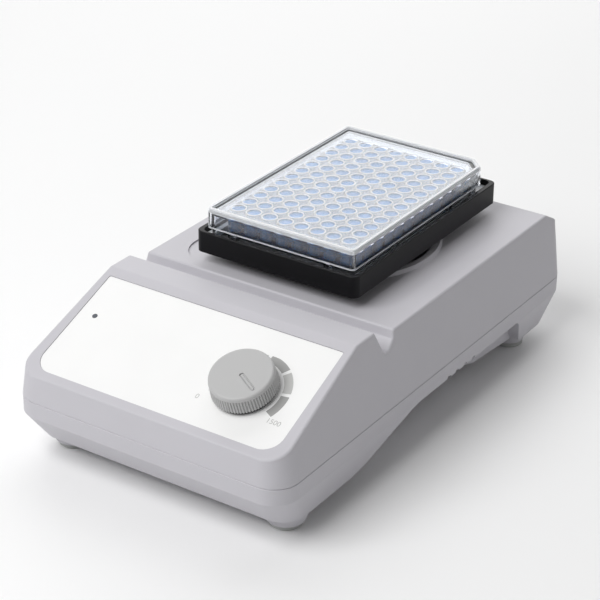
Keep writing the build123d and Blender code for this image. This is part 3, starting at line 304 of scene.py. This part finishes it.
class Shader(Nodes):
    """One material while it is being made."""

    def __init__(self, name):
        self.material = bpy.data.materials.new(name)
        self.material.use_nodes = True
        super().__init__(self.material.node_tree)
        self.surface = self.tree.nodes["Principled BSDF"]
        self.output = self.tree.nodes["Material Output"]

    def place(self):
        """Place on the piece, in metres."""
        return self.node("ShaderNodeTexCoord", {}, {}, output=3)

    def axis(self, vector, index):
        return self.node("ShaderNodeSeparateXYZ", {}, {0: vector}, output=index)

    def noise(self, size, detail=3.0, vector=None):
        """Noise from 0 to 1 with spots of about the given size in metres."""
        sockets = {"Vector": vector or self.place(), "Scale": 1.0 / size, "Detail": detail}
        return self.node("ShaderNodeTexNoise", {}, sockets)

    def mix(self, factor, first, second):
        """Colour between two colours."""
        sockets = {0: factor, 6: first, 7: second}
        return self.node("ShaderNodeMix", {"data_type": "RGBA"}, sockets, output=2)

    def bump(self, height, distance, strength=1.0):
        sockets = {"Height": height, "Distance": distance, "Strength": strength}
        return self.node("ShaderNodeBump", {}, sockets)

    def set(self, **sockets):
        """Sets the surface's sockets; a name's underscores are spaces."""
        self.fill(self.surface, {name.replace("_", " "): value for name, value in sockets.items()})
        return self.material


def opaque(colour, share=1.0):
    """A colour with alpha, made darker or lighter by a share."""
    return tuple(min(1.0, part * share) for part in colour) + (1.0,)


def moulded(name, colour, roughness, grain=0.35, depth=0.012, specular=0.5):
    """Moulded plastic with a fine spark-eroded grain and a faint unevenness of colour."""
    shader = Shader(name)
    patches = shader.noise(24 * MM, detail=2.0)
    texture = shader.noise(grain * MM, detail=2.0)
    base = shader.mix(patches, opaque(colour, 0.975), opaque(colour, 1.02))
    gloss = (roughness - 0.05) + texture * 0.1
    skin = shader.bump(texture, depth * MM)
    return shader.set(Base_Color=base, Roughness=gloss, Specular_IOR_Level=specular, Normal=skin)


def turned(name, colour, roughness=0.26):
    """Machined metal with fine rings of tool marks and small stains."""
    shader = Shader(name)
    rings = shader.noise(0.12 * MM, detail=1.0)
    stains = shader.noise(6 * MM, detail=4.0)
    base = shader.mix(stains, opaque(colour, 0.86), opaque(colour, 1.08))
    gloss = roughness + stains * 0.14 + rings * 0.06
    marks = shader.bump(rings, 0.004 * MM)
    return shader.set(Base_Color=base, Metallic=1.0, Roughness=gloss, Normal=marks)


def painted_highlight_plastic(name, colour, roughness, clarity):
    """White plastic as painted highlight, standing in for clear polystyrene that catches the light, such
    as a thin moulded rim.
    """
    shader = Shader(name)
    haze = shader.noise(3 * MM, detail=3.0)
    return shader.set(
        Base_Color=opaque(colour), Roughness=roughness + haze * 0.03, IOR=1.5, Transmission_Weight=clarity
    )


def clear_with_painted_highlight(name, colour, roughness, bands, border=None):
    """Clear polystyrene with painted highlight: white mixed in, in bands of height, given as (low, high,
    share of white).

    A border, given as (lowest corner, highest corner, width, share), adds painted highlight along its
    box's sides.
    """
    shader = Shader(name)
    place = shader.place()
    height = shader.axis(place, 2)
    haze = shader.noise(3 * MM, detail=3.0)
    white = 0.0
    for low, high, share in bands:
        white = (height > low) * (height < high) * share + white
    if border:
        low, high, width, share = border
        edge = 0.0
        for index in (0, 1):
            middle, half = (low[index] + high[index]) / 2, (high[index] - low[index]) / 2
            edge = (abs(shader.axis(place, index) - middle) > half - width) * 1.0 + edge
        white = (edge * (height > low[2]) * share + white).clamped()
    # The white surface is painted highlight, mixed into the clear one by the mask above.
    sockets = {"Base Color": opaque(colour), "Roughness": 0.25, "Transmission Weight": 0.2}
    painted_highlight_surface = shader.node("ShaderNodeBsdfPrincipled", {}, sockets)
    gloss = roughness + haze * 0.02
    shader.set(Base_Color=opaque(colour), Roughness=gloss, IOR=1.5, Transmission_Weight=1.0)
    clear = Value(shader, shader.surface.outputs[0])
    both = shader.node("ShaderNodeMixShader", {}, {0: white, 1: clear, 2: painted_highlight_surface})
    shader.tree.links.new(both.socket, shader.output.inputs[0])
    return shader.material


def layered(name, colour, pitch, depth, roughness, metallic=0.0, index=2):
    """Stacked sheets or wound wire: fine steps along one axis."""
    shader = Shader(name)
    along = shader.axis(shader.place(), index)
    saw = abs(along / pitch % 1.0 - 0.5) * 2.0
    patches = shader.noise(5 * MM, detail=3.0)
    # The colour is darker in the grooves between the steps and lighter on their crowns.
    base = shader.mix(saw, opaque(colour, 1.25), opaque(colour, 0.6))
    gloss = roughness + patches * 0.12
    return shader.set(
        Base_Color=base, Metallic=metallic, Roughness=gloss, Normal=shader.bump(1 - saw, depth)
    )


def circuit(name, colour):
    """Solder mask over copper tracks."""
    shader = Shader(name)
    place = shader.place()
    kind = {"distance": "MANHATTAN", "feature": "F1"}
    cells = shader.node("ShaderNodeTexVoronoi", kind, {"Vector": place, "Scale": 1 / (5 * MM)})
    tracks = (abs(cells % 0.24 - 0.12) < 0.035) * 1.0
    patches = shader.noise(9 * MM)
    base = shader.mix(tracks * 0.7, opaque(colour, 0.8), opaque(colour, 2.1))
    gloss = 0.28 + patches * 0.1
    return shader.set(Base_Color=base, Roughness=gloss, Normal=shader.bump(tracks, 0.03 * MM))


def rubbery(name, colour):
    """Pale translucent rubber with a dull skin."""
    shader = Shader(name)
    skin = shader.noise(0.6 * MM, detail=3.0)
    base = shader.mix(skin, opaque(colour, 0.9), opaque(colour, 1.06))
    return shader.set(Base_Color=base, Roughness=0.5 + skin * 0.15, Normal=shader.bump(skin, 0.02 * MM))


def dress(material, *nodes):
    """Gives CAD nodes a finish."""
    for name in nodes:
        slots = frame["nodes"][name].data.materials
        slots.clear()
        slots.append(material)


def soften(width, *nodes, angle=35):
    """Rounds the sharp edges of CAD nodes a little, so that they catch light."""
    for name in nodes:
        bevel = frame["nodes"][name].modifiers.new("Edges", "BEVEL")
        bevel.width = width
        bevel.segments = 2
        bevel.limit_method = "ANGLE"
        bevel.angle_limit = math.radians(angle)
        bevel.harden_normals = True


def new_mesh(name, build):
    """Makes a mesh object from a bmesh builder."""
    mesh = bpy.data.meshes.new(name)
    shape = bmesh.new()
    build(shape)
    bmesh.ops.recalc_face_normals(shape, faces=shape.faces)
    shape.to_mesh(mesh)
    shape.free()
    made = bpy.data.objects.new(name, mesh)
    bpy.context.scene.collection.objects.link(made)
    return made


def new_piece(name, body, material, build):
    """Makes a mesh piece and lets it ride on a body."""
    piece = new_mesh(name, build)
    piece.data.materials.append(material)
    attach(piece, body)
    return piece


def carve(piece, build):
    """Cuts the shape of a bmesh builder out of a piece."""
    cutter = new_mesh("cutter", build)
    cut = piece.modifiers.new("Cut", "BOOLEAN")
    cut.object = cutter
    cut.solver = "EXACT"
    graph = bpy.context.evaluated_depsgraph_get()
    piece.data = bpy.data.meshes.new_from_object(piece.evaluated_get(graph))
    piece.modifiers.remove(cut)
    bpy.data.objects.remove(cutter)


def new_ring(shape, points):
    """Vertices of one ring."""
    return [shape.verts.new(point) for point in points]


def join_rings(shape, rings):
    """Walls from each ring to the next, which has as many points."""
    for lower, upper in zip(rings, rings[1:]):
        for place in range(len(lower)):
            after = (place + 1) % len(lower)
            shape.faces.new((lower[place], lower[after], upper[after], upper[place]))


def cap_rings(shape, rings):
    """Flat faces over the first and the last ring."""
    shape.faces.new(rings[0])
    shape.faces.new(rings[-1])


def panel_matrix():
    """Dial centre on the control face, with Z out of the face and X to the operator's right."""
    joint = JOINTS["knob_turn"]
    up = Vector(joint["axis"]).normalized()
    right = Vector((1, 0, 0))
    rotation = Matrix((right, up.cross(right), up)).transposed()
    return Matrix.Translation(Vector(joint["pos_m"])) @ rotation.to_4x4()


def well_places(plate):
    """Centres of the wells, seen from above."""
    low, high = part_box("microplate")
    middle = (low + high) / 2
    for column in range(plate.columns):
        for row in range(plate.rows):
            x = middle.x + (column - (plate.columns - 1) / 2) * plate.pitch
            y = middle.y + (row - (plate.rows - 1) / 2) * plate.pitch
            yield x, y


def revolve_profile(shape, points, centre, steps=32, closed=False):
    """Turns a profile of (radius, height) points round an upright line."""
    rings = []
    for radius, height in points:
        circle = []
        for step in range(steps):
            turn = 2 * math.pi * step / steps
            x, y = centre[0] + radius * math.cos(turn), centre[1] + radius * math.sin(turn)
            circle.append((x, y, height))
        rings.append(new_ring(shape, circle))
    if closed:
        join_rings(shape, rings + rings[:1])
    else:
        join_rings(shape, rings)
        cap_rings(shape, rings)


def capsule(start, end, half, steps=8):
    """Outline of a slot along X with round ends, whose end circles stand at start and end."""
    outline = []
    for middle, first in ((end, -90), (start, 90)):
        for step in range(steps + 1):
            turn = math.radians(first + 180 * step / steps)
            outline.append((middle + half * math.cos(turn), half * math.sin(turn)))
    return outline


class SHAKER_OT_housing(bpy.types.Operator):
    """Finish both housings and the feet"""

    bl_idname = "shaker.housing"
    bl_label = "Housing"

    def execute(self, context):
        colours = context.scene.shaker_colours
        plastic = moulded("housing plastic", colours.housing, 0.5)
        dress(plastic, "upper_housing", "lower_housing")
        feet = [node for node in frame["nodes"] if node.startswith("foot_")]
        dress(rubbery("foot rubber", colours.rubber), *feet)
        return {"FINISHED"}


class SHAKER_OT_overlay(bpy.types.Operator):
    """Finish the control overlay and print its dial"""

    bl_idname = "shaker.overlay"
    bl_label = "Control overlay"

    def outer_radius(self, dial, angle):
        """Outside of the band, which grows from a thin low end."""
        grown = min(1.0, (dial.low_angle - angle) / (dial.low_angle - dial.full_angle))
        return dial.inner_radius + (dial.outer_radius - dial.inner_radius) * max(grown, 0.02)

    def field_builder(self, dial, start, end, steps=14):
        """Builder of one field of the band, between two angles."""

        def build(shape):
            arc = [start + (end - start) * step / steps for step in range(steps + 1)]
            corners = [(dial.inner_radius, angle) for angle in arc]
            corners += [(self.outer_radius(dial, angle), angle) for angle in reversed(arc)]
            outline = [(radius * math.cos(angle), radius * math.sin(angle)) for radius, angle in corners]
            bottom = new_ring(shape, [(x, y, 0) for x, y in outline])
            top = new_ring(shape, [(x, y, dial.print_height) for x, y in outline])
            join_rings(shape, [bottom, top])
            shape.faces.new(top)
            bmesh.ops.transform(shape, matrix=panel_matrix(), verts=shape.verts)

        return build

    def number(self, text, dial, radius, angle, material):
        """One plain number beside the band."""
        curve = bpy.data.curves.new("dial_number_" + text, "FONT")
        curve.body = text
        curve.size = dial.number_height
        curve.extrude = dial.print_height / 2
        curve.align_x = "CENTER"
        curve.align_y = "CENTER"
        curve.materials.append(material)
        letters = bpy.data.objects.new("dial_number_" + text, curve)
        bpy.context.scene.collection.objects.link(letters)
        place = Vector((radius * math.cos(angle), radius * math.sin(angle), dial.print_height / 2))
        letters.matrix_world = panel_matrix() @ Matrix.Translation(place)
        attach(letters, "housing")

    def execute(self, context):
        colours, dial = context.scene.shaker_colours, context.scene.shaker_dial
        film = moulded("overlay film", colours.overlay, 0.34, grain=0.6, depth=0.004)
        dress(film, "control_panel")
        dark = moulded("dark print", colours.print_dark, 0.42, depth=0.003)
        light = moulded("light print", colours.print_light, 0.42, depth=0.003)
        whole = dial.low_angle - dial.high_angle
        field = (whole - (dial.fields - 1) * dial.gap_angle) / dial.fields
        for index in range(dial.fields):
            start = dial.high_angle + index * (field + dial.gap_angle)
            ink = light if index % 2 else dark
            build = self.field_builder(dial, start, start + field)
            new_piece(f"dial_field_{index + 1}", "housing", ink, build)
        self.number("0", dial, dial.low_number_radius, dial.low_number_angle, light)
        self.number("1500", dial, dial.high_number_radius, dial.high_number_angle, light)
        return {"FINISHED"}


class SHAKER_OT_controls(bpy.types.Operator):
    """Finish the knob, the lamp and what is behind the control face"""

    bl_idname = "shaker.controls"
    bl_label = "Knob and lamp"

    def knob_outline(self, knob):
        """Half section of the shell from inside to outside, as (radius, height, share of the grooves)."""
        lean = (knob.radius - knob.top_radius) / (knob.top - knob.foot)
        cavity = knob.radius - knob.shell
        rib_radius = knob.radius - lean * knob.rib_height
        rib_top = knob.foot + knob.rib_height
        outline = [
            (cavity, knob.top - knob.shell, 0),
            (cavity, knob.foot, 0),
            (knob.radius, knob.foot, 1),
            (rib_radius, rib_top, 1),
            (rib_radius, rib_top + knob.rib_end, 0),
        ]
        corner = knob.top_radius - knob.edge
        steps = 6
        for step in range(steps + 1):
            turn = math.radians(90 * step / steps)
            drop = knob.edge * (1 - math.sin(turn))
            outline.append((corner + knob.edge * math.cos(turn), knob.top - drop, 0))
        return outline

    def knob_builder(self, knob):
        """Builder of the ribbed shell of the knob."""
        groove = (0, 0, 0, 0, 0.6, 1, 0.6)
        steps = knob.ribs * len(groove)

        def build(shape):
            rings = []
            for radius, height, ribbed in self.knob_outline(knob):
                points = []
                for step in range(steps):
                    angle = 2 * math.pi * step / steps
                    reach = radius - ribbed * knob.rib_depth * groove[step % len(groove)]
                    points.append((reach * math.cos(angle), reach * math.sin(angle), height))
                rings.append(new_ring(shape, points))
            join_rings(shape, rings)
            cap_rings(shape, rings)

        return build

    def pointer_builder(self, knob, half, rings):
        """Builder of a capsule along the pointer, from (share of the half width, height) rings."""
        start = knob.pointer_start + knob.pointer_width / 2
        end = knob.pointer_end - knob.pointer_width / 2

        def build(shape):
            made = []
            for share, height in rings:
                outline = capsule(start, end, half * share)
                made.append(new_ring(shape, [(x, y, height) for x, y in outline]))
            join_rings(shape, made)
            cap_rings(shape, made)
            turned_to = Matrix.Rotation(knob.pointer_angle, 4, "Z")
            bmesh.ops.transform(shape, matrix=turned_to, verts=shape.verts)

        return build

    def shade_ring_builder(self, knob):
        """Builder of the dark ring in the gap under the knob, which is painted shade for the knob's
        contact shadow.
        """
        inner = knob.radius - knob.shell
        outer = inner + knob.shade_ring
        low, high = knob.shade_ring_gap, knob.foot + knob.shade_ring_gap
        profile = [(inner, low), (outer, low), (outer, high), (inner, high)]

        def build(shape):
            revolve_profile(shape, profile, (0, 0), steps=64, closed=True)

        return build

    def execute(self, context):
        colours, knob = context.scene.shaker_colours, context.scene.shaker_knob
        plastic = moulded("knob plastic", colours.knob, 0.42, grain=0.25)
        dress(plastic, "speed_knob")
        cap = new_piece("knob_cap", "control", plastic, self.knob_builder(knob))
        floor = knob.top - knob.pointer_depth
        slot = [(1, floor), (1, knob.top + knob.edge)]
        carve(cap, self.pointer_builder(knob, knob.pointer_width / 2, slot))
        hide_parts("speed_knob")
        # A dark ring under the knob is painted shade for the shadow in the gap under it.
        rubber = rubbery("painted shade ring", colours.dark)
        shade_ring = new_piece("knob_shade_ring", "control", rubber, self.shade_ring_builder(knob))
        shares = (1.0, 0.95, 0.75, 0.4)
        back = [(share, floor + knob.pointer_depth * math.sqrt(1 - share * share)) for share in shares]
        half = knob.pointer_width / 2 - knob.pointer_clearance
        build = self.pointer_builder(knob, half, back)
        bar = new_piece("knob_pointer", "control", plastic, build)
        for piece in (cap, shade_ring, bar):
            piece.data.transform(panel_matrix())
        lens = Shader("lamp lens")
        gloss = 0.12 + lens.noise(0.5 * MM) * 0.08
        smoky = lens.set(Base_Color=opaque(colours.lamp), Roughness=gloss, Coat_Weight=0.5)
        dress(smoky, "power_lamp")
        dress(turned("plated nut", colours.steel, 0.18), "control_nut")
        return {"FINISHED"}


class SHAKER_OT_tray(bpy.types.Operator):
    """Finish the black tray"""

    bl_idname = "shaker.tray"
    bl_label = "Tray"

    def execute(self, context):
        colours = context.scene.shaker_colours
        dress(moulded("tray plastic", colours.tray, 0.36, grain=0.3, specular=0.15), "plate_tray")
        soften(0.35 * MM, "plate_tray")
        return {"FINISHED"}


class SHAKER_OT_plate(bpy.types.Operator):
    """Finish the microplate, raise its well rims and fill its wells"""

    bl_idname = "shaker.plate"
    bl_label = "Microplate"

    def execute(self, context):
        colours, plate = context.scene.shaker_colours, context.scene.shaker_plate
        look = context.scene.shaker_clear
        low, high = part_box("microplate")
        deck = high.z - plate.deck_sink
        # Painted highlight: white bands in the plate's flange and in its deck.
        bands = [
            (low.z - look.skin, low.z + plate.flange + look.skin, look.flange),
            (deck - look.skin, high.z + look.skin, look.deck),
        ]
        dress(clear_with_painted_highlight("plate polystyrene with painted highlight", colours.clear, 0.02, bands), "microplate")
        inner, outer = plate.rim_radius, plate.rim_radius + plate.rim_width
        crest, slope = deck + plate.rim_height, plate.rim_slope
        rim = [(inner, deck), (inner + slope, crest), (outer - slope, crest), (outer, deck)]

        def rims(shape):
            for centre in well_places(plate):
                revolve_profile(shape, rim, centre, steps=24, closed=True)

        # The raised well rims get white plastic as painted highlight.
        white = painted_highlight_plastic("well rim painted highlight", colours.clear, 0.06, 0.15)
        new_piece("well_rims", "plate", white, rims)
        floor = deck - plate.well_depth - plate.wet
        level = floor + plate.fill_depth
        radius = plate.well_radius + plate.wet
        fill = [
            (radius, floor),
            (radius, level + plate.meniscus),
            (radius * 0.86, level + plate.meniscus * 0.25),
            (radius * 0.6, level),
        ]

        def liquid(shape):
            for centre in well_places(plate):
                revolve_profile(shape, fill, centre, steps=24)

        water = Shader("blue liquid")
        gloss = 0.06 + water.noise(2 * MM) * 0.02
        blue = water.set(Base_Color=opaque(colours.liquid), Roughness=gloss, IOR=1.33)
        new_piece("well_liquid", "plate", blue, liquid)
        return {"FINISHED"}


class SHAKER_OT_lid(bpy.types.Operator):
    """Finish the clear lid"""

    bl_idname = "shaker.lid"
    bl_label = "Lid"

    def execute(self, context):
        colours, look = context.scene.shaker_colours, context.scene.shaker_clear
        low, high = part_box("plate_lid")
        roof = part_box("microplate")[1].z - look.skin
        rim = high.z - look.rim_height
        # Painted highlight: white bands on the skirt's lower edge, the roof and the stacking rim, and a
        # white border round the top, standing in for light catching the lid.
        bands = [
            (low.z - look.skin, low.z + look.skirt_height, look.skirt),
            (roof, rim, look.roof),
            (rim, high.z + look.skin, look.rim),
        ]
        border = ((low.x, low.y, roof), high, look.border_width, look.border)
        dress(clear_with_painted_highlight("lid polystyrene with painted highlight", colours.clear, 0.015, bands, border), "plate_lid")
        soften(0.3 * MM, "plate_lid")
        return {"FINISHED"}


class SHAKER_OT_drive(bpy.types.Operator):
    """Finish the motor, the cranks and what carries them"""

    bl_idname = "shaker.drive"
    bl_label = "Drive"

    def execute(self, context):
        colours = context.scene.shaker_colours
        steel = turned("turned steel", colours.steel)
        aluminium = turned("milled aluminium", colours.aluminium, 0.32)
        bronze = turned("sintered bronze", colours.brass, 0.4)
        idlers = [node for node in frame["nodes"] if node.startswith("idler_crank_")]
        dress(steel, "motor_shaft", "drive_crank", "crank_bearing", *idlers)
        dress(steel, "tray_screws", "standoff_screws", "motor_bolts", "housing_screws", "board_screws")
        dress(steel, "motor_bracket_top", "motor_bracket_bottom")
        dress(aluminium, "bridge_plate", "bridge_standoffs", "tray_carrier")
        dress(aluminium, "motor_rotor", "motor_spacers")
        dress(bronze, "bridge_bushes", "carrier_bushes", "motor_bushes")
        iron = layered("motor iron", colours.lamination, 0.5 * MM, 0.05 * MM, 0.4, metallic=0.4)
        dress(iron, "motor_stack")
        wire = layered("copper winding", colours.winding, 0.6 * MM, 0.2 * MM, 0.3, metallic=0.5, index=0)
        dress(wire, "motor_coil")
        dress(moulded("fan plastic", colours.dark, 0.45), "motor_fan", "coil_bobbin")
        return {"FINISHED"}


class SHAKER_OT_electrics(bpy.types.Operator):
    """Finish the boards and the rear connections"""

    bl_idname = "shaker.electrics"
    bl_label = "Electrics"

    def execute(self, context):
        colours = context.scene.shaker_colours
        dress(circuit("circuit board", colours.board), "control_board", "lamp_board")
        dark = moulded("dark plastic", colours.dark, 0.4)
        dress(dark, "board_terminals", "mains_inlet", "switch_frame", "switch_rocker")
        dress(dark, "fuse_holder", "fuse_cap")
        dress(moulded("capacitor sleeve", colours.lamination, 0.3), "board_capacitors")
        dress(moulded("control body", colours.dark, 0.4), "speed_control")
        dress(turned("heat sink", colours.aluminium, 0.36), "board_heatsink")
        dress(turned("plated pins", colours.steel, 0.16), "inlet_pins", "control_shaft")
        dress(moulded("fuse body", colours.ceramic, 0.25, depth=0.004), "fuse_link")
        return {"FINISHED"}


class SHAKER_OT_stage(bpy.types.Operator):
    """Set up the floor, the light and the camera"""

    bl_idname = "shaker.stage"
    bl_label = "Stage"

    def floor(self, stage):
        """Pale floor."""

        def build(shape):
            bmesh.ops.create_grid(shape, x_segments=1, y_segments=1, size=stage.floor_reach)

        floor = new_mesh("floor", build)
        shader = Shader("pale floor")
        patches = shader.noise(0.4)
        base = shader.mix(patches, opaque(stage.floor, 0.99), opaque(stage.floor, 1.0))
        floor.data.materials.append(shader.set(Base_Color=base, Roughness=0.6))

    def lamp(self, name, place, target, size, power):
        """Square soft light that looks at a point."""
        light = bpy.data.lights.new(name, "AREA")
        light.size = size
        light.energy = power
        lamp = bpy.data.objects.new(name, light)
        bpy.context.scene.collection.objects.link(lamp)
        lamp.location = place
        lamp.rotation_euler = (Vector(target) - Vector(place)).to_track_quat("-Z", "Y").to_euler()

    def room(self, stage):
        """Even room, brighter to the camera, in gloss and through glass than as a light."""
        world = bpy.context.scene.world or bpy.data.worlds.new("room")
        bpy.context.scene.world = world
        world.use_nodes = True
        world.node_tree.nodes.clear()
        nodes = Nodes(world.node_tree)
        rays = nodes.node("ShaderNodeLightPath", {}, {}).socket.node.outputs
        gloss = Value(nodes, rays["Is Glossy Ray"]) * stage.mirrored
        seen = Value(nodes, rays["Is Camera Ray"]).largest(gloss)
        seen = seen.largest(Value(nodes, rays["Is Transmission Ray"]))
        sockets = {"Color": opaque(stage.room_colour), "Strength": seen * (1.0 - stage.room) + stage.room}
        background = nodes.node("ShaderNodeBackground", {}, sockets)
        output = world.node_tree.nodes.new("ShaderNodeOutputWorld")
        world.node_tree.links.new(background.socket, output.inputs["Surface"])

    def camera(self, stage):
        """Camera at the photograph's viewing angle."""
        azimuth, elevation = stage.azimuth, stage.elevation
        level_share = math.cos(elevation)
        side, behind = math.sin(azimuth) * level_share, -math.cos(azimuth) * level_share
        back = Vector((side, behind, math.sin(elevation)))
        level = Vector((0, 0, 1)).cross(back).normalized()
        up = back.cross(level)
        right = level * math.cos(stage.roll) + up * math.sin(stage.roll)
        data = bpy.data.cameras.new("camera")
        data.lens = stage.lens
        data.clip_start, data.clip_end = 0.05, 20
        camera = bpy.data.objects.new("camera", data)
        bpy.context.scene.collection.objects.link(camera)
        rotation = Matrix((right, back.cross(right), back)).transposed()
        camera.matrix_world = Matrix.Translation(Vector(stage.camera)) @ rotation.to_4x4()
        bpy.context.scene.camera = camera

    def execute(self, context):
        stage = context.scene.shaker_stage
        self.floor(stage)
        self.room(stage)
        self.lamp("key", stage.key_place, stage.target, stage.key_size, stage.key)
        self.lamp("top", stage.top_place, stage.target, stage.top_size, stage.top)
        self.lamp("fill", stage.fill_place, stage.target, stage.fill_size, stage.fill)
        self.camera(stage)
        context.scene.view_settings.view_transform = "Standard"
        return {"FINISHED"}


OPERATORS = (
    SHAKER_OT_stage,
    SHAKER_OT_housing,
    SHAKER_OT_overlay,
    SHAKER_OT_controls,
    SHAKER_OT_tray,
    SHAKER_OT_plate,
    SHAKER_OT_lid,
    SHAKER_OT_drive,
    SHAKER_OT_electrics,
)
GROUPS = {
    "shaker_colours": ShakerColours,
    "shaker_dial": ShakerDial,
    "shaker_knob": ShakerKnob,
    "shaker_plate": ShakerPlate,
    "shaker_clear": ShakerClear,
    "shaker_stage": ShakerStage,
}


class SHAKER_PT_panel(bpy.types.Panel):
    """Sidebar panel of the shaker"""

    bl_idname = "SHAKER_PT_panel"
    bl_label = "Microplate Shaker"
    bl_space_type = "VIEW_3D"
    bl_region_type = "UI"
    bl_category = "Shaker"

    def draw(self, context):
        for operator in OPERATORS:
            self.layout.operator(operator.bl_idname)
        for name in GROUPS:
            group = getattr(context.scene, name)
            box = self.layout.box()
            for key in group.bl_rna.properties.keys():
                if key not in {"rna_type", "name"}:
                    box.prop(group, key)


def register():
    for group in GROUPS.values():
        bpy.utils.register_class(group)
    for operator in OPERATORS:
        bpy.utils.register_class(operator)
    bpy.utils.register_class(SHAKER_PT_panel)
    for name, group in GROUPS.items():
        setattr(bpy.types.Scene, name, PointerProperty(type=group))


def unregister():
    for name in GROUPS:
        delattr(bpy.types.Scene, name)
    bpy.utils.unregister_class(SHAKER_PT_panel)
    for operator in reversed(OPERATORS):
        bpy.utils.unregister_class(operator)
    for group in reversed(GROUPS.values()):
        bpy.utils.unregister_class(group)


def main():
    register()
    bpy.ops.shaker.stage()
    bpy.ops.shaker.housing()
    bpy.ops.shaker.overlay()
    bpy.ops.shaker.controls()
    bpy.ops.shaker.tray()
    bpy.ops.shaker.plate()
    bpy.ops.shaker.lid()
    bpy.ops.shaker.drive()
    bpy.ops.shaker.electrics()


if __name__ == "__main__":
    main()
